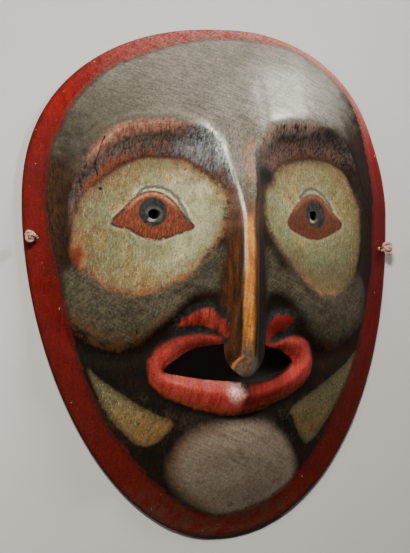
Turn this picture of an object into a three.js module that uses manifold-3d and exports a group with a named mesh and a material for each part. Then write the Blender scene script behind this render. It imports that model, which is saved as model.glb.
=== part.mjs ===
// A carved and painted wooden mask: a human-like face with a bird's beak for a nose.
// It lies on the flat rim of its hollow back, face up, and a thin cord is knotted in its two side holes.
// Millimetres. +X is the viewer's right, +Y the forehead, +Z out of the face.
// The origin is the middle of the mask's outline, on the plane of the back rim.

import * as THREE from 'three';
import { mergeVertices } from 'three/addons/utils/BufferGeometryUtils.js';
import Module from 'manifold-3d';

const wasm = await Module();
wasm.setup();

// Driving sizes of the shell.
const HALF_WIDTH = 95.8;       // at the widest level, beside the eyes
const WIDEST_Y = 36;
const CROWN_HEIGHT = 88.8;     // from the widest level up to the crown
const JAW_HEIGHT = 160.4;      // from the widest level down to the chin
const CROWN_LEAN = 14.5;       // the crown leans towards +X
const JAW_LEAN = -1.3;
const RIM_EDGE = 3;            // upright edge all round the outline
const FACE_RISE = 41;          // from the top of that edge to the middle of the face
const FACE_ROUNDNESS = 1.25;   // above 1 the face starts flatter from its edge
const HOLLOW_LEVEL = 0.915;    // the hollow's mouth as a share of the outline, so the rim is 8 mm wide
const HOLLOW_RISE = 36;        // depth of the hollow
const WALL = 7;                // least height of wood between the hollow and the face

// How square each quarter of the outline is: 2 is an ellipse.
const SQUARENESS = { crownLeft: 2.5, crownRight: 1.9, jawLeft: 1.85, jawRight: 2.2 };

// Eye sockets: under each brow a leaning round dish with a flat floor that falls away from the beak.
const SOCKETS = [
  { x: -40, y: 31, halfWidth: 37.5, halfHeight: 39, lean: 0.2, squareness: 2.6 },
  { x: 43, y: 33, halfWidth: 34, halfHeight: 41, lean: -0.12, squareness: 2.6 },
];
const FLOOR_TOP = 49.9;        // where the two floors would meet, inside the beak
const FLOOR_MIDDLE_X = 1.8;
const FLOOR_SLOPE = 0.457;
const FLOOR_LEVEL_Y = 15;      // above this line the floor drops back under the brow
const FLOOR_TUCK = 0.0034;
const BEVEL_WIDTH = 15;        // the painted brow bevel
const BROW_SWELL = 2.6;

// Soft swellings on the face.
const SWELLINGS = [
  { x: 20, y: 92, halfWidth: 84, halfHeight: 40, height: 8 },       // forehead
  { x: -50, y: -20, halfWidth: 32, halfHeight: 17, height: 3 },     // left cheek
  { x: 50, y: -19, halfWidth: 32, halfHeight: 16, height: 3 },      // right cheek
  { x: 3, y: -91, halfWidth: 40, halfHeight: 27, height: 5.5 },     // chin
];

// Mouth: a lens-shaped opening, and the raised lips from there out to their own edge, point for point.
const MOUTH = [[-32.3, -45.4], [-26.5, -39.3], [-20, -35], [-10, -33], [2, -32.6], [14, -33.2], [23, -34.2],
  [29.5, -37], [32.8, -40.4], [29.5, -44.5], [23, -48.3], [14, -50.3], [3, -50.2], [-10, -49.5], [-23, -47.8]];
const LIP_EDGE = [[-39.2, -46], [-35, -33.5], [-26, -29.2], [-11, -28.3], [2, -29.6], [13, -31.6], [24, -30],
  [36, -28], [45, -38], [42, -49], [31, -57], [16, -63.4], [3, -66], [-12, -63.6], [-29, -58]];
const LIP_PROFILE = [           // share of the way in from the lip's edge, and height over the face where it is broad
  [0.06, -3.5], [0, -0.5], [0.2, 1.5], [0.5, 3.2], [0.8, 2.4], [1, 0.6], [1.15, 0], [1.15, -3.5],
];
const LIP_BROAD = 14;           // a narrower lip stands less high over the face
const LIP_SAMPLES = 30;

// Beak, from the forehead down to its tip: middle and height of the ridge, width of its flat top, rounding of the
// top's edges, and steepness of the left and the right side. Over the mouth it is free, and its sections shrink.
const BEAK_STATIONS = [
  { y: 66, x: 0.6, ridge: 40.5, top: 15, rounding: 4.5, left: 1, right: 1 },
  { y: 57, x: 0, ridge: 43.2, top: 14.4, rounding: 3.5, left: 1.1, right: 1.1 },
  { y: 50, x: 0.3, ridge: 45.4, top: 13, rounding: 2.6, left: 1.2, right: 1.3 },
  { y: 44, x: 0.9, ridge: 47.4, top: 11.6, rounding: 2.2, left: 1.4, right: 1.6 },
  { y: 37, x: 1.3, ridge: 49.2, top: 9.2, rounding: 2, left: 1.5, right: 1.7 },
  { y: 22, x: 1, ridge: 52, top: 5.4, rounding: 1.6, left: 1.7, right: 1.6 },
  { y: 0, x: -0.1, ridge: 54.6, top: 5.4, rounding: 1.5, left: 1.9, right: 1.5 },
  { y: -20, x: 0.3, ridge: 52.4, top: 6.4, rounding: 1.3, left: 2.5, right: 1.5 },
  { y: -33, x: 1.1, ridge: 49.7, top: 6.6, rounding: 1.2, left: 2.4, right: 1.3, free: true },
  { y: -37, x: 1.2, ridge: 48.8, top: 6.2, rounding: 1.2, left: 2.3, right: 1.2, free: true, size: 0.98 },
  { y: -42.2, x: 1.3, ridge: 47.7, top: 6.1, rounding: 1.3, left: 2.1, right: 1.2, free: true, size: 0.83 },
  { y: -45.4, x: 1.3, ridge: 46.8, top: 6, rounding: 1.4, left: 1.9, right: 1.15, free: true, size: 0.58 },
  { y: -47.3, x: 1.3, ridge: 46.1, top: 6, rounding: 1.4, left: 1.9, right: 1.15, free: true, size: 0.34 },
  { y: -48.4, x: 1.3, ridge: 45.3, top: 6, rounding: 1.4, left: 1.9, right: 1.15, free: true, size: 0.1 },
];
const BEAK_DROPS = [0, 0.14, 0.5, 1];   // where the section's corners lie between the ridge and the foot
const BEAK_CROWN = 0.4;        // the flat top is a little higher along its middle
const BEAK_BED = 4;            // how far the beak's foot is sunk in the face
const BEAK_UNDER = 38;         // underside of the free end

// Drilled holes.
const PUPILS = [{ x: -39.3, y: 28.5 }, { x: 43.4, y: 31.2 }];
const PUPIL_BORE = 5;
const CORD_BORE = 3;
const LEFT_HOLE = { outside: [-92.5, 18.2, 5.2], inside: [-80, 18.2, 3.2] };
const RIGHT_HOLE = { outside: [92.5, 19.2, 5], inside: [80, 19.2, 3.2] };

// Cord: 2 mm twine, knotted outside each hole, slack on the floor of the hollow.
const CORD_DIAMETER = 2;
const CORD_SIDES = 8;
const CORD_STEPS = 54;
const KNOT_LEFT = { centre: [-93.4, 18.2, 8.1], size: [5.6, 6.8, 6.4] };
const KNOT_RIGHT = { centre: [93.8, 19.2, 7.8], size: [5.8, 7.2, 6.2] };
const CORD_ROUTE = [
  [-91, 18.2, 4.95], [-87, 18.2, 4.3], [-83, 18.1, 3.7], [-79, 17.5, 2.8], [-75, 15.5, 1.8], [-70, 12, 1.2],
  [-63, 6, 1.1], [-55, -3, 1.1], [-45, -12, 1.1], [-33, -18, 1.1], [-20, -19, 1.1], [-8, -14, 1.1],
  [3, -6, 1.1], [14, 3, 1.1], [26, 10, 1.1], [39, 11, 1.1], [50, 6, 1.1], [60, 4, 1.1], [67, 8, 1.1],
  [72, 13.5, 1.4], [77, 17.5, 2.4], [82, 19.1, 3.5], [87, 19.2, 4.2], [91.2, 19.2, 4.75],
];

// Grid counts of the faceted surfaces.
const FACE_CELLS = 48;
const HOLLOW_CELLS = 24;

const ease = (t) => THREE.MathUtils.smoothstep(t, 0, 1);

// Which squareness holds in the quarter that a direction points into.
function squareness(right, up) {
  if (up) return right ? SQUARENESS.crownRight : SQUARENESS.crownLeft;
  return right ? SQUARENESS.jawRight : SQUARENESS.jawLeft;
}

// The outline is level 1, and smaller levels are smaller copies of it about the widest line.
function outlineLevel(x, y) {
  const up = y > WIDEST_Y;
  const v = (y - WIDEST_Y) / (up ? CROWN_HEIGHT : JAW_HEIGHT);
  const u = (x - (up ? CROWN_LEAN : JAW_LEAN) * v * v) / HALF_WIDTH;
  const n = squareness(u > 0, up);
  return (Math.abs(u) ** n + Math.abs(v) ** n) ** (1 / n);
}

// The point at an angle and a level, the other way round.
function outlinePoint(angle, level) {
  const c = Math.cos(angle);
  const s = Math.sin(angle);
  const n = squareness(c > 0, s > 0);
  const reach = level / (Math.abs(c) ** n + Math.abs(s) ** n) ** (1 / n);
  const v = s * reach;
  const lean = s > 0 ? CROWN_LEAN : JAW_LEAN;
  const height = s > 0 ? CROWN_HEIGHT : JAW_HEIGHT;
  return [c * reach * HALF_WIDTH + lean * v * v, WIDEST_Y + v * height];
}

// Level of a leaning superellipse: 0 in its middle, 1 on its edge.
function ovalLevel(oval, x, y) {
  const c = Math.cos(oval.lean ?? 0);
  const s = Math.sin(oval.lean ?? 0);
  const u = ((x - oval.x) * c + (y - oval.y) * s) / oval.halfWidth;
  const v = ((y - oval.y) * c - (x - oval.x) * s) / oval.halfHeight;
  const n = oval.squareness ?? 2;
  return (Math.abs(u) ** n + Math.abs(v) ** n) ** (1 / n);
}

// Height of the carved face over the rim plane.
function faceHeight(x, y) {
  const level = Math.min(outlineLevel(x, y), 1);
  let z = RIM_EDGE + FACE_RISE * (1 - level ** 2) ** FACE_ROUNDNESS;
  for (const swelling of SWELLINGS) z += swelling.height * ease(1.15 * (1 - ovalLevel(swelling, x, y)) + 0.1);
  const tuck = FLOOR_TUCK * Math.max(y - FLOOR_LEVEL_Y, 0) ** 2;
  const floor = FLOOR_TOP - FLOOR_SLOPE * Math.abs(x - FLOOR_MIDDLE_X) - tuck;
  for (const socket of SOCKETS) {
    const inward = (1 - ovalLevel(socket, x, y)) * socket.halfHeight;
    const upper = ease((y - 30) / 25);
    const sink = ease(inward / (BEVEL_WIDTH * upper + 5 * (1 - upper)));
    z += BROW_SWELL * upper * Math.exp(-((inward / 11) ** 2)) * (1 - sink);
    z += sink * (floor - z);
  }
  return z;
}

// Height of the hollow's roof: a plain dome that stays a wall's thickness under the face.
function hollowHeight(x, y) {
  const level = Math.min(outlineLevel(x, y) / HOLLOW_LEVEL, 1);
  const dome = 0.5 + HOLLOW_RISE * (1 - level ** 2.6) ** 0.8;
  return Math.min(dome, faceHeight(x, y) - WALL);
}

// Square grid folded onto a disc: angle and level of a grid point.
function discPoint(a, b) {
  const level = Math.max(Math.abs(a), Math.abs(b));
  if (level < 1e-9) return [0, 0];
  if (Math.abs(a) >= Math.abs(b)) return [(Math.PI / 4) * (b / a) + (a < 0 ? Math.PI : 0), level];
  return [Math.PI / 2 - (Math.PI / 4) * (a / b) + (b < 0 ? Math.PI : 0), level];
}

// Closed body under a height function: its grid, an upright edge and a flat fan below.
function domeGeometry(height, cells, reach, floor) {
  const positions = [];
  const faces = [];
  const row = cells + 1;
  for (let j = 0; j <= cells; j++) {
    for (let i = 0; i <= cells; i++) {
      const [angle, level] = discPoint((2 * i) / cells - 1, (2 * j) / cells - 1);
      const [x, y] = outlinePoint(angle, level * reach);
      positions.push(x, y, height(x, y));
    }
  }
  for (let j = 0; j < cells; j++) {
    for (let i = 0; i < cells; i++) {
      const k = j * row + i;
      const sameWay = (i < cells / 2) === (j < cells / 2);
      if (sameWay) faces.push(k, k + 1, k + row + 1, k, k + row + 1, k + row);
      else faces.push(k, k + 1, k + row, k + 1, k + row + 1, k + row);
    }
  }
  const border = [];
  for (let i = 0; i < cells; i++) border.push(i);
  for (let j = 0; j < cells; j++) border.push(j * row + cells);
  for (let i = cells; i > 0; i--) border.push(cells * row + i);
  for (let j = cells; j > 0; j--) border.push(j * row);
  const firstLow = positions.length / 3;
  for (const k of border) positions.push(positions[3 * k], positions[3 * k + 1], floor);
  const centre = positions.length / 3;
  positions.push(0, 0, floor);
  border.forEach((k, i) => {
    const next = (i + 1) % border.length;
    faces.push(k, firstLow + i, firstLow + next, k, firstLow + next, border[next]);
    faces.push(firstLow + i, centre, firstLow + next);
  });
  return indexedGeometry(positions, faces);
}

// Closed body through rings of points that all have the same count.
function loftGeometry(rings, closedLoop = false) {
  const count = rings[0].length;
  const faces = [];
  const pairs = closedLoop ? rings.length : rings.length - 1;
  for (let r = 0; r < pairs; r++) {
    const here = r * count;
    const there = ((r + 1) % rings.length) * count;
    for (let i = 0; i < count; i++) {
      const next = (i + 1) % count;
      faces.push(here + i, here + next, there + next, here + i, there + next, there + i);
    }
  }
  if (!closedLoop) {
    const last = (rings.length - 1) * count;
    for (let i = 1; i < count - 1; i++) {
      faces.push(0, i + 1, i, last, last + i, last + i + 1);
    }
  }
  return indexedGeometry(rings.flat(2), faces);
}

function indexedGeometry(positions, faces) {
  const geometry = new THREE.BufferGeometry();
  geometry.setAttribute('position', new THREE.Float32BufferAttribute(positions, 3));
  geometry.setIndex(faces);
  return geometry;
}

function smoothLoop(points, count) {
  const corners = points.map(([x, y]) => new THREE.Vector3(x, y, 0));
  const curve = new THREE.CatmullRomCurve3(corners, true, 'catmullrom', 0.5);
  return curve.getPoints(count).slice(0, count);
}

// How far a flank of the beak stands out from the middle of its ridge, at a drop below the ridge.
function flankReach({ top, rounding }, steepness, drop) {
  return top / 2 + Math.sqrt((drop / steepness + rounding) ** 2 - rounding ** 2);
}

// The beak: a flat-topped section at each station, sunk in the face, then free over the mouth.
function beakGeometry() {
  const rings = BEAK_STATIONS.map((station) => {
    const { y, x, ridge, left, right, free, size = 1 } = station;
    const depth = ridge - (free ? BEAK_UNDER : faceHeight(x, y) - BEAK_BED);
    const flank = (steepness, way) => BEAK_DROPS.map((drop) => {
      const reach = size * flankReach(station, steepness, drop * depth);
      return [x + way * reach, y, ridge - size * drop * depth];
    });
    return [...flank(left, -1).reverse(), [x, y, ridge + BEAK_CROWN], ...flank(right, 1)];
  });
  return loftGeometry(rings.reverse());
}

// The ring of lips: its profile is swept between the lip's edge and the mouth, standing on the face.
function lipGeometry() {
  const outer = smoothLoop(LIP_EDGE, LIP_SAMPLES);
  const inner = smoothLoop(MOUTH, LIP_SAMPLES);
  const rings = outer.map((edge, i) => {
    const breadth = Math.min(edge.distanceTo(inner[i]) / LIP_BROAD, 1);
    return LIP_PROFILE.map(([share, height]) => {
      const point = edge.clone().lerp(inner[i], share);
      return [point.x, point.y, faceHeight(point.x, point.y) + (height > 0 ? height * breadth : height)];
    });
  });
  return loftGeometry(rings, true);
}

// Upright cutter with a given outline.
function prismGeometry(points, bottom, top) {
  const shape = new THREE.Shape(points.map(({ x, y }) => new THREE.Vector2(x, y)));
  const geometry = new THREE.ExtrudeGeometry(shape, { depth: top - bottom, bevelEnabled: false });
  return geometry.translate(0, 0, bottom);
}

// Round cutter from one point to another, lengthened at both ends.
function boreGeometry(from, to, diameter, extra) {
  const start = new THREE.Vector3(...from);
  const end = new THREE.Vector3(...to);
  const along = end.clone().sub(start).normalize();
  const length = start.distanceTo(end) + 2 * extra;
  const geometry = new THREE.CylinderGeometry(diameter / 2, diameter / 2, length, 16);
  geometry.applyQuaternion(new THREE.Quaternion().setFromUnitVectors(new THREE.Vector3(0, 1, 0), along));
  const middle = start.add(end).multiplyScalar(0.5);
  return geometry.translate(middle.x, middle.y, middle.z);
}

function solid(geometry) {
  const bare = geometry.clone();
  bare.deleteAttribute('normal');
  bare.deleteAttribute('uv');
  const merged = mergeVertices(bare, 1e-4);
  return new wasm.Manifold(new wasm.Mesh({
    numProp: 3,
    vertProperties: new Float32Array(merged.attributes.position.array),
    triVerts: new Uint32Array(merged.index.array),
  }));
}

function geometryOf(body) {
  const mesh = body.getMesh();
  return indexedGeometry(Array.from(mesh.vertProperties), Array.from(mesh.triVerts));
}

function carveMask() {
  const shell = solid(domeGeometry(faceHeight, FACE_CELLS, 1, 0));
  const hollow = solid(domeGeometry(hollowHeight, HOLLOW_CELLS, HOLLOW_LEVEL, -1.5));
  const mouth = solid(prismGeometry(smoothLoop(MOUTH, 36), -5, 60));
  let body = shell.add(solid(lipGeometry())).subtract(hollow).subtract(mouth).add(solid(beakGeometry()));
  for (const { x, y } of PUPILS) {
    body = body.subtract(solid(boreGeometry([x, y, 10], [x, y, 50], PUPIL_BORE, 0)));
  }
  for (const { outside, inside } of [LEFT_HOLE, RIGHT_HOLE]) {
    body = body.subtract(solid(boreGeometry(outside, inside, CORD_BORE, 4)));
  }
  return geometryOf(body);
}

// A stopper knot as a slightly squashed ball.
function knotGeometry({ centre, size }) {
  const geometry = new THREE.IcosahedronGeometry(0.5, 1);
  return geometry.scale(...size).translate(...centre);
}

function cordGeometry() {
  const path = new THREE.CatmullRomCurve3(CORD_ROUTE.map((point) => new THREE.Vector3(...point)));
  const section = new THREE.Shape();
  for (let i = 0; i < CORD_SIDES; i++) {
    const turn = (2 * Math.PI * i) / CORD_SIDES;
    const corner = [Math.cos(turn) * CORD_DIAMETER / 2, Math.sin(turn) * CORD_DIAMETER / 2];
    if (i === 0) section.moveTo(...corner);
    else section.lineTo(...corner);
  }
  return new THREE.ExtrudeGeometry(section, { steps: CORD_STEPS, bevelEnabled: false, extrudePath: path });
}

const paintedWood = new THREE.MeshStandardMaterial({ color: '#5b564a', roughness: 0.5, metalness: 0 });
const twine = new THREE.MeshStandardMaterial({ color: '#b8917f', roughness: 0.9, metalness: 0 });

const mask = new THREE.Group();
for (const [name, geometry, material] of [
  ['mask_shell', carveMask(), paintedWood],
  ['hanging_cord', cordGeometry(), twine],
  ['cord_knot_left', knotGeometry(KNOT_LEFT), twine],
  ['cord_knot_right', knotGeometry(KNOT_RIGHT), twine],
]) {
  const mesh = new THREE.Mesh(geometry, material);
  mesh.name = name;
  mask.add(mesh);
}

export default mask;
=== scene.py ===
"""A carved and painted wooden mask with a bird's beak, lying on its back rim, face up."""

import math

import bpy
import numpy as np
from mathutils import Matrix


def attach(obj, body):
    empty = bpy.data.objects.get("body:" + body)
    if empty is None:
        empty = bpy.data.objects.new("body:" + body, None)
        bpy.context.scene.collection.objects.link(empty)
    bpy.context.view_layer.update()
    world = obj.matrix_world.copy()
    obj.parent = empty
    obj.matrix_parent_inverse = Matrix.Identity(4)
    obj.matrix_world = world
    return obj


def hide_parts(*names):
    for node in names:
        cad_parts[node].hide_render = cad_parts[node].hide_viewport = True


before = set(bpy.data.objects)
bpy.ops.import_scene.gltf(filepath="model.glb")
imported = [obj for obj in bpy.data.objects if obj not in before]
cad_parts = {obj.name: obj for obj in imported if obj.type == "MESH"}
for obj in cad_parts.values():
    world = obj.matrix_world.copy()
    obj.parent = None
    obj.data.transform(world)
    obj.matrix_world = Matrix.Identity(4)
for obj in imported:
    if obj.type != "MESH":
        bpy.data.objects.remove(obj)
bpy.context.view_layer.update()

# The room: a pale matt floor under the mask, the camera and four soft lamps.
# The photograph looks at the upright face from its right-hand side and a little from below, so here the
# camera looks down on the lying face from the same side, a little from the chin's end.
MM = 0.001
IMAGE_HEIGHT_PX = 553
SENSOR_MM = 36.0
CAMERA_DISTANCE_MM = 1100.0
SCALE_MM_PER_PX = 0.478
SIDE_ANGLE = math.radians(21.5)
CHIN_ANGLE = math.radians(5.0)
AIM_MM = np.array([-11.4, 0.15, 25.0])
CLOSEST_SEEN = 0.05
FLOOR_HALF = 3.0
FLOOR_COLOUR = (0.62, 0.61, 0.59, 1.0)
FLOOR_ROUGHNESS = 0.9
AMBIENT_COLOUR = (1.0, 1.0, 1.0, 1.0)
AMBIENT_STRENGTH = 0.03

# Each lamp: the direction it stands in, its distance and size in metres, its watts and colour, the point
# that it is aimed at, and the spread of its beam in degrees.
LAMPS = {
    "key": ((-0.33, 0.46, 0.82), 0.85, 0.2, 8.2, (1.0, 0.95, 0.86), (0, 0, 0), 180),
    "crown_side": ((0.60, 0.75, 0.18), 0.9, 0.34, 3.8, (1.0, 0.98, 0.96), (0, 0, 0), 180),
    "forehead": ((0.67, 0.60, 0.46), 0.9, 0.2, 0.1, (1.0, 0.98, 0.96), (0.037, 0.086, 0.05), 16),
    "left_side": ((-0.82, 0.2, 0.53), 1.3, 0.3, 3.2, (1.0, 0.96, 0.9), (0, 0, 0), 180),
}


def unit(vector):
    """A vector divided by its length."""
    return np.array(vector, float) / np.linalg.norm(vector)


def placed(right, up, back, at):
    """The placing whose axes are right, up and back, at a point."""
    place = np.eye(4)
    place[:3] = np.stack([right, up, back, at], axis=1)
    return place.T.tolist()


def place_camera():
    """The eye stands on the line that leaves the aim point at the side angle and the chin angle."""
    back = np.array([
        -math.sin(SIDE_ANGLE) * math.cos(CHIN_ANGLE),
        -math.sin(CHIN_ANGLE),
        math.cos(SIDE_ANGLE) * math.cos(CHIN_ANGLE),
    ])
    right = unit(np.cross(-back, (0.0, 1.0, 0.0)))
    up = np.cross(right, -back)
    lens = bpy.data.cameras.new("camera")
    lens.sensor_width = SENSOR_MM
    lens.lens = SENSOR_MM * CAMERA_DISTANCE_MM / (SCALE_MM_PER_PX * IMAGE_HEIGHT_PX)
    lens.clip_start = CLOSEST_SEEN
    camera = bpy.data.objects.new("camera", lens)
    camera.matrix_world = placed(right, up, back, (AIM_MM + CAMERA_DISTANCE_MM * back) * MM)
    bpy.context.scene.collection.objects.link(camera)
    bpy.context.scene.camera = camera


def add_mesh(name, points, faces):
    """A mesh object at the origin from points in metres."""
    mesh = bpy.data.meshes.new(name)
    mesh.from_pydata(np.asarray(points).tolist(), [], np.asarray(faces).tolist())
    mesh.update()
    piece = bpy.data.objects.new(name, mesh)
    bpy.context.scene.collection.objects.link(piece)
    return piece


def plain_material(name, colour, roughness):
    """A single matt colour, for the floor."""
    material = bpy.data.materials.new(name)
    material.use_nodes = True
    shader = material.node_tree.nodes["Principled BSDF"]
    shader.inputs["Base Color"].default_value = colour
    shader.inputs["Roughness"].default_value = roughness
    return material


def add_floor():
    """A square of floor, its middle under the mask."""
    corners = [(x * FLOOR_HALF, y * FLOOR_HALF, 0.0) for x, y in ((-1, -1), (1, -1), (1, 1), (-1, 1))]
    floor = add_mesh("floor", corners, [(0, 1, 2, 3)])
    floor.data.materials.append(plain_material("floor", FLOOR_COLOUR, FLOOR_ROUGHNESS))


def add_light(name, direction, distance, size, power, colour, aim, spread):
    """A round soft box that stands in a direction from the point that it is aimed at."""
    light = bpy.data.lights.new(name, "AREA")
    light.size = size
    light.energy = power
    light.color = colour
    light.shape = "DISK"
    light.spread = math.radians(spread)
    lamp = bpy.data.objects.new(name, light)
    back = unit(direction)
    right = unit(np.cross((0.0, 1.0, 0.01), back))
    lamp.matrix_world = placed(right, np.cross(back, right), back, np.array(aim) + back * distance)
    bpy.context.scene.collection.objects.link(lamp)


place_camera()
add_floor()
world = bpy.data.worlds.new("studio")
world.use_nodes = True
ambient = world.node_tree.nodes["Background"]
ambient.inputs["Color"].default_value = AMBIENT_COLOUR
ambient.inputs["Strength"].default_value = AMBIENT_STRENGTH
bpy.context.scene.world = world
for name, lamp in LAMPS.items():
    add_light(name, *lamp)

# The mask shell: one block of wood, carved in front, hollowed behind and painted. Its brows, beak, lips and
# chin are cut from the block; the eye holes, the cord holes and the mouth go right through it.
# On the face x runs to the viewer's right and y to the forehead, in millimetres.
HALF_WIDTH = 95.8
WIDEST_Y = 36.0
CROWN_HEIGHT = 88.8
JAW_HEIGHT = 160.4
CROWN_LEAN = 14.5
JAW_LEAN = -1.3
RIM_EDGE = 3.0
RIM_SOFTENING = 1.0
RIM_SOFT_FROM = 0.985
RIM_SOFT_WIDTH = 0.015
RIM_SKIRT = [(1.0, 1.2), (0.997, 0.4), (0.99, 0.0)]
FACE_RISE = 41.0
FACE_ROUNDNESS = 1.25
HOLLOW_LEVEL = 0.915
HOLLOW_RISE = 36.0
HOLLOW_FOOT = 0.5
GOUGE_DEPTH = 0.5
WALL = 7.0
FACE_CELLS = 260
KNIFE_WAVES = 14
KNIFE_LENGTHS = (7.0, 21.0)
KNIFE_DEPTH = 0.022
KNIFE_SEED = 7
HOLLOW_CELLS = 84
HOLLOW_SKIRT = [(HOLLOW_LEVEL, -1.5)]
MOUTH_CUT = (-5.0, 65.0)
PUPIL_CUT = (10, 50)
SHARP_EDGE = math.radians(48)
SQUARE_CROWN = (1.9, 2.5)
SQUARE_JAW = (2.2, 1.85)

# Swellings of the dome at the crown, the two cheeks and the chin: height, middle and half its two widths.
SWELLS = [
    (8.0, (20, 92), (84, 40)),
    (3.0, (-50, -20), (32, 17)),
    (3.0, (50, -19), (32, 16)),
    (5.5, (3, -91), (40, 27)),
]

# The floors of the eye sockets fall away from the beak, and tuck in under the brows.
FLOOR_TOP = 49.9
FLOOR_SLOPE = 0.457
FLOOR_LEVEL_Y = 15.0
FLOOR_TUCK = 0.0034
PATCH_SINK = 0.5
BROW_FROM_Y = 30
BROW_FULL_AFTER = 22
BEAK_X = 1.8

# How far the features stand over the dome, or are cut into it.
BROW_SWELL = 2.2
EYE_BORDER = 0.7
CHEEK_STEP = 1.4
CHEEK_GROOVE = 0.8
LIP_GROOVE = 1.1
LIP_LEAST = 0.5
LIP_PER_WIDTH = 0.24
LIP_PEAK = 2.4
LIP_DROP = 0.9
LIP_CREST_UPPER = 0.36
LIP_CREST_LOWER = 0.56
LIP_CORNER_Y = -46
WING_RISE = 0.7
BEAK_VALLEY = 4.0

EYE_PATCHES = [
    [(-63, 44), (-53, 51), (-44, 55), (-33.5, 55.5), (-25, 54), (-17, 48.5), (-10.5, 42.5), (-7.6, 32),
     (-8.6, 23.5), (-13.7, 12), (-19.6, 4.6), (-29, -3), (-39.7, -8), (-50, -9.7), (-60, -6.7), (-66.3, -1),
     (-72.3, 6), (-75, 14.5), (-74.3, 26), (-71.8, 35.5), (-66.5, 41.3)],
    [(17.2, 45.4), (11.8, 40.6), (10.2, 30.8), (13.4, 21.6), (22.7, 10.3), (33, 2.2), (43.2, -5.3),
     (50.8, -7.7), (62.5, -3.1), (70.1, 4.1), (73.8, 15.2), (74.6, 28.5), (73.6, 40.2), (70, 51),
     (65.9, 55.5), (56.6, 59), (43.3, 59.2), (26.1, 54.7), (20, 50.7)],
]
SOCKETS = [
    [(-77, 22), (-76.5, 36), (-73, 49), (-66, 60), (-57, 69), (-45, 72.5), (-31, 72.5), (-22, 71),
     (-16, 68.6), (-10, 61.5), (-7.8, 56), (-6.4, 50), (-5.2, 43.5), (-4.4, 37), (-5.2, 30), (-6.6, 22),
     (-11.5, 12), (-18.5, 2.5), (-34, -5.5), (-49, -10.8), (-61, -7.6), (-70, 0), (-76.5, 12)],
    [(7.6, 30), (7, 37), (7.2, 44), (7.4, 52), (8.2, 58.5), (10.6, 65), (16, 71), (26, 74), (36, 75),
     (47, 75.5), (58, 74), (68, 66), (73.5, 54), (76, 42), (76.6, 28), (75.8, 14), (71.5, 2.5),
     (63.5, -4.8), (51, -9.2), (42.5, -6.6), (32, 1), (21.5, 9.4), (12, 20)],
]
CHEEKS = [
    [(-80, -10), (-77.5, -20), (-66.6, -31), (-55, -35.5), (-46, -34), (-38, -28), (-30, -20.5), (-21, -12),
     (-10, -10), (-3, -14), (0, 10), (-30, 18), (-60, 14), (-78, 4)],
    [(80, -12), (72, -23.6), (59, -32), (49, -32.5), (40.7, -28.5), (34, -20), (27, -12), (18, -10),
     (8, -14), (4, 10), (30, 18), (60, 14), (78, 4)],
]
FIELD = [
    (-67, 90), (-55, 101), (-42, 107), (-30, 112), (-17, 116), (-4, 118.7), (10, 119.7), (28, 118.8),
    (42, 116), (54, 110), (65, 102), (75, 90), (80.5, 76), (84, 59), (85.5, 43), (85.5, 27), (85, 11),
    (83.3, -1), (81, -13), (78, -25), (75, -37), (70, -49), (64, -61), (59, -73), (51, -85), (41, -97),
    (30, -105), (14, -112), (2, -114.5), (-11, -111.5), (-24, -104), (-33, -97), (-44, -85), (-53, -74),
    (-60, -63), (-66, -51), (-70, -40), (-73.5, -29), (-77, -18), (-79.5, -6), (-82, 5), (-85, 20),
    (-87, 36), (-86, 51), (-83.5, 63), (-80, 70), (-75, 80),
]
MOUTH = [
    (-32.3, -45.4), (-26.5, -39.3), (-20, -35), (-10, -33), (2, -32.6), (14, -33.2), (23, -34.2),
    (29.5, -37), (32.8, -40.4), (29.5, -44.5), (23, -48.3), (14, -50.3), (3, -50.2), (-10, -49.5),
    (-23, -47.8),
]
LIPS = [
    (-39.6, -43), (-38.3, -38), (-35, -33.5), (-28.5, -30), (-20, -28.2), (-10, -28.4), (2, -29.6),
    (12, -31.6), (20, -31.5), (26, -29.3), (33, -27.8), (40, -29.5), (44.5, -35), (45.2, -43),
    (42, -49), (35, -54.5), (25, -59.5), (14, -64), (4, -66), (-6, -65), (-18, -62), (-26.5, -59),
    (-33.5, -55.3), (-38.3, -49.5),
]
CHIN = [
    (-25.6, -92), (-24.7, -85), (-21.6, -79), (-16.5, -74), (-9.6, -71), (-0.7, -69.6), (12.6, -68.8),
    (22.6, -70), (31, -74.6), (38, -82), (42, -90), (41, -97), (35, -105), (26, -110), (14, -112.5),
    (2.4, -113), (-7.3, -111), (-15.6, -106), (-22, -100),
]
NOSTRIL_WINGS = [
    [(-28.5, -24.8), (-24, -19.8), (-17.5, -16.4), (-12.8, -16.8), (-9.2, -20.5), (-6.6, -25.5),
     (-5.4, -29.6), (-8, -29.2), (-11.5, -25.8), (-18.3, -23.8)],
    [(14.2, -33.6), (14.8, -27), (17, -21.6), (20.4, -18.8), (27.2, -18.4), (31.2, -20.6), (27, -24.4),
     (21.8, -26.6), (17.6, -30.6)],
]
PUPILS = [(-39.3, 28.5), (43.4, 31.2)]
PUPIL_BORE = 5.0
CORD_BORE = 3.0
CORD_HOLES = [((-92.5, 18.2, 5.2), (-80, 18.2, 3.2)), ((92.5, 19.2, 5.0), (80, 19.2, 3.2))]

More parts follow.
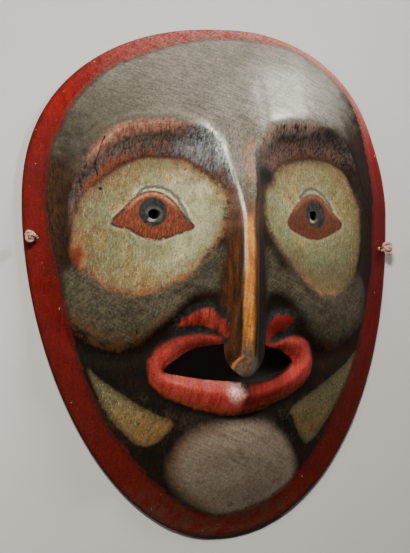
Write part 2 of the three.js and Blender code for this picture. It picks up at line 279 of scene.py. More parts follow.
# The beak's ridge from the forehead down: place, middle, height, half its flat top, the rounding of the
# top's edges, and how steep it is to the left and to the right.
RIDGE_Y = (110, 78, 66, 57, 50, 44, 37, 31, 22, 12, 0, -20, -36, -46, -51)
RIDGE_X = (1.8, 1.4, 0.6, 0.0, 0.3, 0.85, 1.35, 1.25, 1.0, 0.7, -0.1, 0.3, 1.2, 1.3, 1.3)
RIDGE_Z = (-20, 28, 37, 42.6, 45.4, 47.4, 49.2, 50.5, 52, 53.6, 55, 52.8, 49.4, 47.4, 46.0)
RIDGE_HALF_TOP = (8, 8, 8.5, 7.2, 6.5, 5.8, 4.6, 3.5, 2.7, 2.8, 2.7, 3.2, 3.1, 3.0, 3.0)
RIDGE_ROUNDING = (6.0, 6.0, 5.0, 3.5, 2.6, 2.2, 2.0, 1.8, 1.6, 1.5, 1.5, 1.3, 1.2, 1.4, 1.6)
RIDGE_LEFT = (1.0, 1.0, 1.0, 1.1, 1.2, 1.4, 1.5, 1.6, 1.7, 1.8, 1.9, 2.5, 2.4, 1.9, 1.8)
RIDGE_RIGHT = (1.0, 1.0, 1.0, 1.1, 1.3, 1.6, 1.7, 1.7, 1.6, 1.5, 1.5, 1.5, 1.25, 1.15, 1.1)
RIDGE_CROWN = 0.02
BEAK_FREE_Y = -33.0
BURIED = -60.0
BEAK_TIP_Y = -48.6


def ease(t):
    """0 below 0, 1 above 1, and a smooth step between."""
    t = np.clip(t, 0.0, 1.0)
    return t * t * (3.0 - 2.0 * t)


def along(places, values, at):
    """A smooth line through values at places: cubic pieces that share their slopes."""
    order = np.argsort(places)
    places = np.array(places, float)[order]
    values = np.array(values, float)[order]
    slopes = np.gradient(values, places)
    k = np.clip(np.searchsorted(places, at) - 1, 0, len(places) - 2)
    step = places[k + 1] - places[k]
    t = np.clip((at - places[k]) / step, 0.0, 1.0)
    from_start = (1 + 2 * t) * (1 - t) ** 2 * values[k] + t * (1 - t) ** 2 * step * slopes[k]
    from_end = t * t * (3 - 2 * t) * values[k + 1] + t * t * (t - 1) * step * slopes[k + 1]
    return from_start + from_end


def smooth_loop(points, steps=9):
    """A closed smooth curve through the points, sampled between each pair."""
    here = np.array(points, float)[:, None]
    before, after, later = (np.roll(here, shift, axis=0) for shift in (1, -1, -2))
    t = np.linspace(0, 1, steps, endpoint=False)[None, :, None]
    curve = 2 * here + (after - before) * t
    curve = curve + (2 * before - 5 * here + 4 * after - later) * t**2
    curve = curve + (3 * here - before - 3 * after + later) * t**3
    return (0.5 * curve).reshape(-1, 2)


def squared_distance(x, y, start, end):
    """The square of the distance to the straight line from start to end."""
    (ax, ay), (ex, ey) = start, end - start
    t = np.clip(((x - ax) * ex + (y - ay) * ey) / (ex * ex + ey * ey), 0.0, 1.0)
    return (x - ax - t * ex) ** 2 + (y - ay - t * ey) ** 2


def depth_inside(points, x, y, far=25.0):
    """Distance to a smooth loop, counted positive inside it, and never less than -far."""
    loop = smooth_loop(points)
    low, high = loop.min(axis=0) - far, loop.max(axis=0) + far
    near = (x > low[0]) & (x < high[0]) & (y > low[1]) & (y < high[1])
    px, py = x[near], y[near]
    nearest = np.full(px.shape, far * far)
    inside = np.zeros(px.shape, bool)
    for start, end in zip(loop, np.roll(loop, -1, axis=0)):
        nearest = np.minimum(nearest, squared_distance(px, py, start, end))
        (ax, ay), (ex, ey) = start, end - start
        crosses = (ay > py) != (end[1] > py)
        inside ^= crosses & (px < ax + ex * (py - ay) / (ey if ey else 1e-9))
    depth = np.full(x.shape, -far)
    depth[near] = np.where(inside, 1.0, -1.0) * np.sqrt(nearest)
    return depth


def deepest(loops, x, y):
    """The largest depth inside any of several loops."""
    return np.max([depth_inside(loop, x, y) for loop in loops], axis=0)


def squareness(right, up):
    """How square each quarter of the outline is: 2 is an ellipse."""
    return np.where(up, np.where(right, *SQUARE_CROWN), np.where(right, *SQUARE_JAW))


def outline_level(x, y):
    """1 on the outline, and smaller on smaller copies of it about the widest line."""
    up = y > WIDEST_Y
    v = (y - WIDEST_Y) / np.where(up, CROWN_HEIGHT, JAW_HEIGHT)
    u = (x - np.where(up, CROWN_LEAN, JAW_LEAN) * v * v) / HALF_WIDTH
    n = squareness(u > 0, up)
    return (np.abs(u) ** n + np.abs(v) ** n) ** (1 / n)


def outline_point(angle, level):
    """The point at an angle and a level: the other way round."""
    c, s = np.cos(angle), np.sin(angle)
    n = squareness(c > 0, s > 0)
    reach = level / (np.abs(c) ** n + np.abs(s) ** n) ** (1 / n)
    v = s * reach
    x = c * reach * HALF_WIDTH + np.where(s > 0, CROWN_LEAN, JAW_LEAN) * v * v
    return x, WIDEST_Y + v * np.where(s > 0, CROWN_HEIGHT, JAW_HEIGHT)


def oval(x, y, middle, half):
    """Level of an ellipse: 0 in its middle, 1 on its edge."""
    return np.hypot((x - middle[0]) / half[0], (y - middle[1]) / half[1])


def smooth_max(a, b, blend):
    """The larger of two heights, with a rounded valley between them."""
    return 0.5 * (a + b + np.sqrt((a - b) ** 2 + blend**2))


def beak_height(x, y):
    """A flat-topped ridge with straight sides, its two upper edges rounded, most near the forehead."""
    half_top = along(RIDGE_Y, RIDGE_HALF_TOP, y)
    rounding = along(RIDGE_Y, RIDGE_ROUNDING, y)
    aside = x - along(RIDGE_Y, RIDGE_X, y)
    steep = np.where(aside < 0, along(RIDGE_Y, RIDGE_LEFT, y), along(RIDGE_Y, RIDGE_RIGHT, y))
    beyond = np.maximum(np.abs(aside) - half_top, 0.0)
    crown = RIDGE_CROWN * np.minimum(np.abs(aside), half_top) ** 2
    return along(RIDGE_Y, RIDGE_Z, y) - crown - steep * (np.sqrt(beyond**2 + rounding**2) - rounding)


def bare_dome(x, y):
    """The dome of the face before its features: high in the middle, flat towards its upright edge."""
    level = np.minimum(outline_level(x, y), 1.0)
    z = RIM_EDGE + FACE_RISE * (1 - level**2) ** FACE_ROUNDNESS
    z = z - RIM_SOFTENING * np.clip((level - RIM_SOFT_FROM) / RIM_SOFT_WIDTH, 0, 1) ** 2
    for height, middle, half in SWELLS:
        z = z + height * ease(1.15 * (1 - oval(x, y, middle, half)) + 0.1)
    return z


def carved_height(x, y):
    """The dome with the two eye sockets sunk to their sloping floors, and the brow bevels above them."""
    z = bare_dome(x, y)
    floor = FLOOR_TOP - FLOOR_SLOPE * np.abs(x - BEAK_X)
    floor = floor - FLOOR_TUCK * np.maximum(y - FLOOR_LEVEL_Y, 0) ** 2
    upper = ease((y - BROW_FROM_Y) / BROW_FULL_AFTER)
    for socket, patch in zip(SOCKETS, EYE_PATCHES):
        in_socket = depth_inside(socket, x, y)
        in_patch = depth_inside(patch, x, y)
        bevel = bevel_share(in_socket, in_patch)
        lower = ease(in_socket / 5)
        z = z + BROW_SWELL * upper * np.exp(-((in_socket / 10) ** 2)) * (1 - ease(in_socket / 8))
        z = z + (bevel * upper + lower * (1 - upper)) * (floor - PATCH_SINK - z)
        z = z + EYE_BORDER * np.exp(-(((in_patch + 1.8) / 2.2) ** 2)) * (1 - upper)
    return z


def bevel_share(in_socket, in_patch):
    """How far down the brow's bevel: 0 on the brow, 1 on the eye patch, with a rounded upper edge."""
    share = np.clip(in_socket / np.maximum(in_socket - in_patch, 0.1), -1, 1)
    return np.where(in_patch > 0, 1.0, np.minimum(0.5 * (share + np.sqrt(share**2 + 0.03)) - 0.004, 1.0))


def cheek_fold(x, y):
    """A step up to each cheek and a groove before it, which fade out beside the eyes."""
    cheek = deepest(CHEEKS, x, y)
    step = CHEEK_STEP * ease((cheek + 2.5) / 7) - CHEEK_GROOVE * np.exp(-(((cheek + 4) / 4) ** 2))
    return step * ease((4 - y) / 12)


def lip_relief(x, y):
    """The groove round the lips, and the lips themselves.

    Across a lip the rise is a roof with a rounded crest, higher where the lip is wider, and it drops off
    into the mouth. The lower lip has a peak in its middle."""
    in_lips = depth_inside(LIPS, x, y)
    in_mouth = depth_inside(MOUTH, x, y)
    groove = -LIP_GROOVE * ease((in_lips + 10) / 8) * ease((y + 75) / 12)
    share = np.clip(in_lips / np.maximum(in_lips - in_mouth, 0.1), 0, 1)
    upper = ease((y - LIP_CORNER_Y) / 8)
    crest_at = LIP_CREST_UPPER * upper + LIP_CREST_LOWER * (1 - upper)
    lean = np.where(share < crest_at, share / crest_at, (1 - share) / (1 - crest_at))
    width = np.clip(in_lips - in_mouth, 1.0, 14.0)
    roof = 1.04 - np.sqrt((1 - np.clip(lean, 0, 1)) ** 2 + 0.02)
    peak = (1 - upper) * np.maximum(1 - np.sqrt(((x - 3) / 17) ** 2 + 0.02), 0)
    roll = (LIP_LEAST + LIP_PER_WIDTH * width) * roof * ease((width - 1.5) / 3.5) + 0.1
    roll = roll - LIP_DROP * ease((share - 0.6) / 0.4) + LIP_PEAK * peak
    on_lips = ease((in_lips + 2.0) / 4.0)
    return groove * (1 - on_lips), roll * on_lips


def face_height(x, y):
    """The carved dome with cheeks, lips, nostril wings, the beak's ridge and the knife's marks."""
    z = carved_height(x, y) + cheek_fold(x, y)
    groove, roll = lip_relief(x, y)
    z = z + groove + roll
    z = z + WING_RISE * ease((deepest(NOSTRIL_WINGS, x, y) + 3) / 6)
    z = smooth_max(z, np.where(y > BEAK_FREE_Y - 4, beak_height(x, y), BURIED), BEAK_VALLEY)
    return z + knife_marks(x, y)


def knife_marks(x, y):
    """Shallow flats left by the crooked knife: crossing waves of drawn direction, length and start."""
    draw = np.random.default_rng(KNIFE_SEED)
    marks = 0.0 * (x + y)
    for _ in range(KNIFE_WAVES):
        turn, start = draw.uniform(0, 2 * math.pi, 2)
        number = 2 * math.pi / draw.uniform(*KNIFE_LENGTHS)
        bend = 1.5 * np.sin(0.05 * (x * math.cos(2 * turn) + y * math.sin(3 * turn)))
        marks = marks + np.sin(number * (x * math.cos(turn) + y * math.sin(turn)) + start + bend)
    return KNIFE_DEPTH * marks


def hollow_height(x, y):
    """The hollow's roof: a plain dome a wall's thickness under the face, in rows of gouge scallops."""
    level = np.minimum(outline_level(x, y) / HOLLOW_LEVEL, 1.0)
    dome = HOLLOW_FOOT + HOLLOW_RISE * (1 - level**2.6) ** 0.8
    scallop = GOUGE_DEPTH * np.abs(np.sin(0.36 * x + 0.9 * np.sin(0.11 * y)))
    scallop = scallop * np.abs(np.sin(0.17 * y + 0.02 * x))
    return np.minimum(dome, carved_height(x, y) - WALL) - scallop * ease((1 - level) * 8)


def disc_grid(cells):
    """A square grid folded onto a disc: the angle and level of each point, row by row."""
    a, b = np.meshgrid(np.linspace(-1, 1, cells + 1), np.linspace(-1, 1, cells + 1))
    level = np.maximum(np.abs(a), np.abs(b))
    wide = np.abs(a) >= np.abs(b)
    across = np.where(wide, b, a) / np.where(level > 0, np.where(wide, a, b), 1.0)
    side = np.where(wide, np.where(a < 0, math.pi, 0.0), np.where(b < 0, 1.5 * math.pi, 0.5 * math.pi))
    return side + np.where(wide, 1, -1) * across * math.pi / 4, level


def dome_body(height, cells, reach, skirt):
    """Closed body under a height function: its grid, rings of an upright skirt and a flat fan below.

    Each skirt ring is a level and a height."""
    angle, level = disc_grid(cells)
    x, y = outline_point(angle, level * reach)
    points = [np.stack([x, y, height(x, y)], axis=-1).reshape(-1, 3)]
    row = cells + 1
    k = (np.arange(cells)[:, None] * row + np.arange(cells)[None, :]).ravel()
    i, j = k % row, k // row
    rising = ((i < cells / 2) == (j < cells / 2))[:, None]
    far = k + row
    lower = np.where(rising, np.stack([k, k + 1, far + 1], 1), np.stack([k, k + 1, far], 1))
    upper = np.where(rising, np.stack([k, far + 1, far], 1), np.stack([k + 1, far + 1, far], 1))
    faces = [lower, upper]
    step = np.arange(cells)
    border = np.concatenate([step, step * row + cells, cells * row + cells - step, (cells - step) * row])
    ring_angle = angle.ravel()[border]
    above = border
    for ring_level, ring_height in skirt:
        x, y = outline_point(ring_angle, ring_level)
        below = sum(len(block) for block in points) + np.arange(len(border))
        points.append(np.stack([x, y, np.full(x.shape, ring_height)], axis=-1))
        faces += ring_faces(above, below)
        above = below
    centre = sum(len(block) for block in points)
    points.append(np.array([[0.0, 0.0, skirt[-1][1]]]))
    faces.append(np.stack([above, np.full(len(above), centre), np.roll(above, -1)], axis=1))
    return np.concatenate(points), np.concatenate(faces)


def ring_faces(above, below):
    """Two triangles for each step round two closed rings of points."""
    above_next, below_next = np.roll(above, -1), np.roll(below, -1)
    return [np.stack([above, below, below_next], axis=1), np.stack([above, below_next, above_next], axis=1)]


def loft_body(rings):
    """Closed body through an array of rings, stations by points by three, with a fan over each end."""
    stations, count = rings.shape[:2]
    index = np.arange(stations * count).reshape(stations, count)
    faces = []
    for above, below in zip(index[:-1], index[1:]):
        faces += ring_faces(above, below)
    ends = rings[[0, -1]].mean(axis=1)
    first, last = stations * count, stations * count + 1
    faces.append(np.stack([np.full(count, first), index[0], np.roll(index[0], -1)], axis=1))
    faces.append(np.stack([np.full(count, last), np.roll(index[-1], -1), index[-1]], axis=1))
    return np.concatenate([rings.reshape(-1, 3), ends]), np.concatenate(faces)


def upright_body(loop, low, high):
    """A straight-sided cutter with a loop for its outline."""
    rings = [np.column_stack([loop, np.full(len(loop), height)]) for height in (high, low)]
    return loft_body(np.array(rings))


def bore_body(start, end, diameter, extra=4.0, sides=24):
    """A round cutter from a start to an end and a little beyond both."""
    start, end = np.array(start, float), np.array(end, float)
    line = unit(end - start)
    across = unit(np.cross(line, (0.0, 1.0, 0.3)))
    turn = np.linspace(0, 2 * math.pi, sides, endpoint=False)[:, None]
    circle = diameter / 2 * (np.cos(turn) * across + np.sin(turn) * np.cross(line, across))
    return loft_body(np.array([end + extra * line + circle, start - extra * line + circle]))


# The beak is free of the face over the mouth. Its lower edges rise towards the hooked tip.
BEAK_FROM_Y = -20.0
BEAK_UNDER_Z = 39.0
BEAK_BELLY = 2.2
BEAK_NOSE_LENGTH = 12.9
BEAK_DROOP = 1.6
BEAK_RINGS = 24
BEAK_TIP_RINGS = 36
BEAK_ACROSS = 45


def beak_body():
    """Sections from inside the wood to the tip: the ridge's own shape above, a shallow arc below.

    Over the last stretch each section shrinks in width and depth by the arc of an ellipse, so the tip is
    round."""
    turn = np.linspace(math.pi / 2, 0.03, BEAK_TIP_RINGS)
    plan = np.concatenate([np.ones(BEAK_RINGS), np.sin(turn) ** 1.3])[:, None]
    y = BEAK_TIP_Y + BEAK_NOSE_LENGTH * (1 - np.cos(turn))
    y = np.concatenate([np.linspace(BEAK_FROM_Y, y[0], BEAK_RINGS + 1)[:-1], y])[:, None]
    half_top = along(RIDGE_Y, RIDGE_HALF_TOP, y)
    rounding = along(RIDGE_Y, RIDGE_ROUNDING, y)
    middle, peak = along(RIDGE_Y, RIDGE_X, y), along(RIDGE_Y, RIDGE_Z, y)
    buried = ease((y + 30) / 8)
    across = np.sin(np.linspace(-1, 1, BEAK_ACROSS) * math.pi / 2)[None]
    steep = np.where(across < 0, along(RIDGE_Y, RIDGE_LEFT, y), along(RIDGE_Y, RIDGE_RIGHT, y))
    fall = (peak - RIDGE_CROWN * half_top**2 - BEAK_UNDER_Z) / steep + rounding
    half = (half_top + np.sqrt(fall**2 - rounding**2)) * (1 - 0.04 * buried)
    y = y + 0 * across
    x = middle + half * plan * across
    top = peak - (peak - beak_height(middle + half * across, y)) * plan
    top = top + knife_marks(x, y) + 0.04 - 0.3 * buried - BEAK_DROOP * (1 - plan) ** 2
    edge = np.minimum(top[:, :1], top[:, -1:])
    belly = edge - BEAK_BELLY * plan * np.sqrt(1 - across**2) - 0.02
    above, below = np.stack([x, y, top], axis=-1), np.stack([x, y, belly], axis=-1)
    return loft_body(np.concatenate([above, below[:, -2:0:-1]], axis=1))


def carve(block, cuts, joins):
    """Takes every cut out of the block and joins the rest to it, as one closed mesh."""
    for tool, operation in [(cut, "DIFFERENCE") for cut in cuts] + [(join, "UNION") for join in joins]:
        step = block.modifiers.new(operation, "BOOLEAN")
        step.object = tool
        step.operation = operation
        step.solver = "MANIFOLD"
    graph = bpy.context.evaluated_depsgraph_get()
    carved = bpy.data.meshes.new_from_object(block.evaluated_get(graph))
    block.modifiers.clear()
    block.data = carved
    for tool in cuts + joins:
        bpy.data.objects.remove(tool)


def piece_of(name, body):
    """An object from a body in millimetres."""
    points, faces = body
    return add_mesh(name, points * MM, faces)


mask = piece_of("mask", dome_body(face_height, FACE_CELLS, 1.0, RIM_SKIRT))
cutters = [
    piece_of("hollow", dome_body(hollow_height, HOLLOW_CELLS, HOLLOW_LEVEL, HOLLOW_SKIRT)),
    piece_of("mouth", upright_body(smooth_loop(MOUTH)[::-1], *MOUTH_CUT)),
]
pupil_lines = [[(x, y, z) for z in PUPIL_CUT] for x, y in PUPILS]
cutters += [piece_of("pupil", bore_body(start, end, PUPIL_BORE)) for start, end in pupil_lines]
cutters += [piece_of("cord_hole", bore_body(outside, inside, CORD_BORE)) for outside, inside in CORD_HOLES]
carve(mask, cutters, [piece_of("beak", beak_body())])
mask.data.shade_smooth()
mask.data.set_sharp_from_angle(angle=SHARP_EDGE)

# The paint: every boundary is a distance in millimetres kept on the mesh, positive inside its shape.
ALMONDS = [
    [(-58, 24.8), (-52, 31.5), (-46.7, 37.2), (-40.6, 39.6), (-34.6, 38.1), (-29.5, 33.3), (-26, 27.5),
     (-22.4, 22), (-31.7, 17.9), (-38.4, 16.1), (-45.4, 18.1), (-50.5, 21.4), (-54.8, 22.4)],
    [(26, 25.1), (30, 32.8), (35, 37.6), (40.1, 41), (46.6, 41.8), (52, 39), (56.9, 33.8), (62.5, 28),
     (54.3, 22.6), (44, 19.3), (34.1, 20.9)],
]
LIDS = [
    [(-46.2, 37.7), (-43.1, 41.1), (-38.8, 41.8), (-33.6, 40.5), (-29.5, 36.6), (-26.7, 31.3),
     (-24.2, 24.8)],
    [(35.3, 39.1), (40.2, 43.7), (44.6, 44.5), (50.2, 42.2), (54.2, 38.4), (56.2, 35.2)],
]
IRISES = [((-39.7, 29.5), (6.1, 6.8)), ((44.9, 31.8), (6.3, 6.6))]
JAWS = [
    [(-65.5, -44.5), (-59.6, -49.5), (-45.9, -59), (-34.7, -65.5), (-26.9, -68.3), (-25.4, -71.2),
     (-27.4, -74), (-33, -79.7), (-39.2, -80.6), (-45.9, -75.9), (-53.8, -67.4), (-60, -57)],
    [(76, -33), (66, -41), (50, -52), (35.5, -62), (37, -67), (42, -74.5), (48.5, -78.5), (58, -68),
     (70, -50)],
]
CRACK = [(-61.2, 65.5), (-63.6, 58), (-64.9, 52.5), (-63.4, 47.5)]
CHEEK_CRACK = [(-48.5, -23), (-47, -27), (-46.6, -29.5)]
LINE_SAMPLES = 40
FREE_BEAK_LOWEST = 34
FREE_BEAK_HALF = 15
EYE_MIDDLE_X = (-38, 43)
EYE_MIDDLE_Y = 22
IRIS_REACH = 6.4
BEAK_TIP = ((2.4, -44.2), (7.0, 6.6))
CROWN_RUB = ((2, 92), (92, 48))
BRIDGE_RUB = ((-15, 61), (20, 16))
RIDGE_RUB = ((-4, 42), (6, 26))

# Single marks: the nail hole, the scuff at the left eye patch, and on the lower lip a rubbed spot that is
# also a painted highlight, and a dark spot of painted shade.
# Each has its middle, how much narrower and how much flatter than round it is, and its lean.
SPOTS = {
    "nail": ((-62, 41), 1.0, 1.0, 0.0),
    "scuff": ((-73.6, 6), 1.5, 0.5, 0.15),
    "lip_rub_highlight": ((2.4, -54.5), 1.0, 0.8, 0.0),
    "lip_shade_spot": ((7.0, -52.0), 0.8, 1.0, 0.0),
}


def run_along(points):
    """The length along a line of points, up to each of them."""
    return np.concatenate([[0], np.cumsum(np.linalg.norm(np.diff(points, axis=0), axis=1))])


def smooth_line(points, samples):
    """A smooth open line through the points, with evenly spaced samples."""
    points = np.array(points, float)
    run = run_along(points)
    at = np.linspace(0, run[-1], samples)
    return np.stack([along(run, values, at) for values in points.T], axis=1)


def line_distance(points, x, y, far=25.0):
    """Distance to a smooth open line through the points."""
    line = smooth_line(points, LINE_SAMPLES)
    nearest = np.full(x.shape, far * far)
    for start, end in zip(line[:-1], line[1:]):
        nearest = np.minimum(nearest, squared_distance(x, y, start, end))
    return np.sqrt(nearest)


def keep(piece, name, values):
    """Stores one number for each vertex under a name that the material reads."""
    mark = piece.data.attributes.new(name, "FLOAT", "POINT")
    mark.data.foreach_set("value", np.ascontiguousarray(values, np.float32))


def crest(x, y, reach=1.5):
    """How proud a point stands of its surroundings: positive on worn edges, negative in grooves."""
    steps = ((reach, 0), (-reach, 0), (0, reach), (0, -reach))
    around = sum(face_height(x + dx, y + dy) for dx, dy in steps)
    return face_height(x, y) - around / 4


points = np.empty(len(mask.data.vertices) * 3, np.float32)
mask.data.vertices.foreach_get("co", points)
X, Y, Z = (points.reshape(-1, 3) / MM).T.astype(float)
over_mouth = depth_inside(MOUTH, X, Y)
ridge_x = along(RIDGE_Y, RIDGE_X, Y)
free_beak = (over_mouth > 0.05) & (Z > FREE_BEAK_LOWEST) & (np.abs(X - ridge_x) < FREE_BEAK_HALF)
in_sockets = [depth_inside(socket, X, Y) for socket in SOCKETS]
in_patches = [depth_inside(patch, X, Y) for patch in EYE_PATCHES]
left_eye = X < BEAK_X
in_socket = np.where(left_eye, *in_sockets)
in_patch = np.where(left_eye, *in_patches)
round_x = X - np.where(left_eye, *EYE_MIDDLE_X)
round_y = Y - EYE_MIDDLE_Y
keep(mask, "skin", np.where(free_beak, 0.0, face_height(X, Y) - Z))
keep(mask, "field", depth_inside(FIELD, X, Y, 30))
keep(mask, "patch", in_patch)
keep(mask, "socket", in_socket)
keep(mask, "bevel", bevel_share(in_socket, in_patch))
keep(mask, "round_brow", np.degrees(np.arctan2(np.where(left_eye, -round_x, round_x), round_y)))
keep(mask, "almond", deepest(ALMONDS, X, Y))
keep(mask, "iris", np.max([(1 - oval(X, Y, *iris)) * IRIS_REACH for iris in IRISES], axis=0))
keep(mask, "pupil", np.min([np.hypot(X - x, Y - y) for x, y in PUPILS], axis=0))
keep(mask, "lid", np.min([line_distance(lid, X, Y) for lid in LIDS], axis=0))
keep(mask, "crack", np.min([line_distance(line, X, Y) for line in (CRACK, CHEEK_CRACK)], axis=0))
keep(mask, "lips", np.where(free_beak, -25.0, depth_inside(LIPS, X, Y)))
keep(mask, "mouth", over_mouth)
keep(mask, "wing", deepest(NOSTRIL_WINGS, X, Y))
keep(mask, "chin", depth_inside(CHIN, X, Y))
keep(mask, "jaw", deepest(JAWS, X, Y))
keep(mask, "cheek", deepest(CHEEKS, X, Y))
on_beak = free_beak | (Y > BEAK_FREE_Y - 1.5)
keep(mask, "ridge", np.where(on_beak, along(RIDGE_Y, RIDGE_HALF_TOP, Y) - np.abs(X - ridge_x), -20.0))
proud_beak = np.where(on_beak, beak_height(X, Y) - carved_height(X, Y), -20.0)
keep(mask, "beak", np.where(free_beak, 20.0, proud_beak))
keep(mask, "tip", np.where(on_beak, 7 * (1 - oval(X, Y, *BEAK_TIP)), -20.0))
keep(mask, "crest", np.where(free_beak, 0.0, crest(X, Y)))
keep(mask, "crown", ease(1.5 * (1 - oval(X, Y, *CROWN_RUB))))
on_bridge = ease(1.6 * (1 - oval(X, Y, *BRIDGE_RUB)))
keep(mask, "inner_brow", np.maximum(on_bridge, ease(1.3 * (1 - oval(X, Y, *RIDGE_RUB)))))
keep(mask, "ridge_right", np.where(on_beak, X - ridge_x, 0.0))
keep(mask, "pupil_chip", np.min([np.hypot(X - x + 1.0, (Y - y + 2.6) * 1.5) for x, y in PUPILS], axis=0))
for name, (middle, narrower, flatter, lean) in SPOTS.items():
    aside, above = X - middle[0], Y - middle[1]
    keep(mask, name, np.hypot((aside - lean * above) * narrower, above * flatter))


def tint(colour):
    """A colour as a picture shows it, three numbers to 255, turned into the light that the shader takes."""
    share = np.array(colour) / 255
    light = np.where(share <= 0.04045, share / 12.92, ((share + 0.055) / 1.055) ** 2.4)
    return (*map(float, light), 1.0)


class Finish:
    """One finish on one material: its methods add shader nodes and return their sockets."""

    def __init__(self, name):
        """A new material, read by its place on the piece."""
        self.material = bpy.data.materials.new(name)
        self.material.use_nodes = True
        self.nodes = self.material.node_tree.nodes
        self.links = self.material.node_tree.links
        self.shader = self.nodes["Principled BSDF"]
        self.place = self.nodes.new("ShaderNodeTexCoord").outputs["Object"]

    def feed(self, socket, value):
        """Links another node's socket, or sets a plain value."""
        if isinstance(value, bpy.types.NodeSocket):
            self.links.new(value, socket)
        elif value is not None:
            socket.default_value = value

    def mark(self, name):
        """A number kept on the mesh."""
        node = self.nodes.new("ShaderNodeAttribute")
        node.attribute_name = name
        return node.outputs["Fac"]

    def step(self, operation, first, second=None, third=None):
        """One step of arithmetic."""
        node = self.nodes.new("ShaderNodeMath")
        node.operation = operation
        for socket, value in zip(node.inputs, (first, second, third)):
            self.feed(socket, value)
        return node.outputs[0]

    def fade(self, value, low, high):
        """0 below low, 1 above high, and smooth between; low may be the larger."""
        node = self.nodes.new("ShaderNodeMapRange")
        node.interpolation_type = "SMOOTHSTEP"
        node.clamp = False
        rising = low < high
        self.feed(node.inputs["Value"], value)
        node.inputs["From Min"].default_value = min(low, high)
        node.inputs["From Max"].default_value = max(low, high)
        node.inputs["To Min"].default_value = 0.0 if rising else 1.0
        node.inputs["To Max"].default_value = 1.0 if rising else 0.0
        return node.outputs["Result"]

    def grain(self, size, stretch=(1, 1, 1), turn=0.0, detail=3.0, rough=0.55):
        """Noise of a size in millimetres, stretched along the axes and turned about Z in degrees."""
        turned = self.nodes.new("ShaderNodeMapping")
        turned.vector_type = "POINT"
        turned.inputs["Rotation"].default_value = (0, 0, math.radians(turn))
        self.feed(turned.inputs["Vector"], self.place)
        scaled = self.nodes.new("ShaderNodeMapping")
        scaled.inputs["Scale"].default_value = [1 / (size * MM * share) for share in stretch]
        self.links.new(turned.outputs[0], scaled.inputs["Vector"])
        node = self.nodes.new("ShaderNodeTexNoise")
        node.inputs["Scale"].default_value = 1.0
        node.inputs["Detail"].default_value = detail
        node.inputs["Roughness"].default_value = rough
        self.links.new(scaled.outputs[0], node.inputs["Vector"])
        return node.outputs["Fac"]

    def blend(self, under, over, cover):
        """A number laid over another where cover is 1."""
        node = self.nodes.new("ShaderNodeMix")
        self.feed(node.inputs["Factor"], cover)
        self.feed(node.inputs["A"], under)
        self.feed(node.inputs["B"], over)
        return node.outputs["Result"]

    def plus(self, first, second):
        """Two numbers added."""
        return self.step("ADD", first, second)

    def scaled(self, value, factor, added):
        """The value times the factor, with a third number added."""
        return self.step("MULTIPLY_ADD", value, factor, added)

    def times(self, *values):
        """All the values multiplied."""
        product = values[0]
        for value in values[1:]:
            product = self.step("MULTIPLY", product, value)
        return product

    def mix(self, under, over, cover, kind="MIX"):
        """A colour laid over another where cover is 1."""
        node = self.nodes.new("ShaderNodeMix")
        node.data_type = "RGBA"
        node.blend_type = kind
        pairs = {"Factor_Float": cover, "A_Color": under, "B_Color": over}
        for socket in node.inputs:
            if socket.identifier in pairs:
                self.feed(socket, pairs[socket.identifier])
        return next(socket for socket in node.outputs if socket.identifier == "Result_Color")

    def paint(self, first, second, share):
        """A new paint: the first colour, turning to the second where the share is 1."""
        return Paint(self, first, second, share)

    def dress(self, piece, paint, roughness, relief, distance=1.0):
        """Feeds the shader and puts the finish on a piece; the relief is in millimetres."""
        self.feed(self.shader.inputs["Base Color"], paint.colour)
        self.feed(self.shader.inputs["Roughness"], roughness)
        bump = self.nodes.new("ShaderNodeBump")
        bump.inputs["Strength"].default_value = 1.0
        bump.inputs["Distance"].default_value = distance * MM
        self.links.new(relief, bump.inputs["Height"])
        self.links.new(bump.outputs["Normal"], self.shader.inputs["Normal"])
        piece.data.materials.clear()
        piece.data.materials.append(self.material)


class Paint:
    """A colour that is built up in layers; each is a picture's colour or another paint."""

    def __init__(self, finish, first, second, share):
        """The first colour, turning to the second where the share is 1."""
        self.finish = finish
        self.colour = finish.mix(tint(first), tint(second), share)

    def over(self, top, *covers):
        """Lays the top over the rest where all the covers multiplied are 1."""
        top = top.colour if isinstance(top, Paint) else tint(top)
        self.colour = self.finish.mix(self.colour, top, self.finish.times(*covers))

    def mottle(self, noise, dark, light):
        """Makes the colour darker or lighter by a noise."""
        tone = self.finish.nodes.new("ShaderNodeMapRange")
        self.finish.feed(tone.inputs["Value"], noise)
        for name, value in (("From Min", 0.3), ("From Max", 0.7), ("To Min", dark), ("To Max", light)):
            tone.inputs[name].default_value = value
        self.colour = self.finish.mix(self.colour, tone.outputs["Result"], 1.0, "MULTIPLY")


# The finish over the carving, in the order in which its layers lie on the wood. Every number is a distance
# in millimetres, a share or a colour.
coat = Finish("painted_wood")
fade, times, blend, grain = coat.fade, coat.times, coat.blend, coat.grain
mark, plus, scaled, paint = coat.mark, coat.plus, coat.scaled, coat.paint
spot = coat.nodes.new("ShaderNodeSeparateXYZ")
coat.links.new(coat.place, spot.inputs[0])
across_face = coat.step("DIVIDE", spot.outputs["X"], MM)
up_face = coat.step("DIVIDE", spot.outputs["Y"], MM)
SOOT = (20, 17, 14)


def rightward(low, high):
    """A fade by the distance to the viewer's right of the face's middle."""
    return fade(across_face, low, high)


def upward(low, high):
    """A fade by the distance up the face."""
    return fade(up_face, low, high)


def marked(name, low, high):
    """A fade by a number kept on the mesh."""
    return fade(mark(name), low, high)


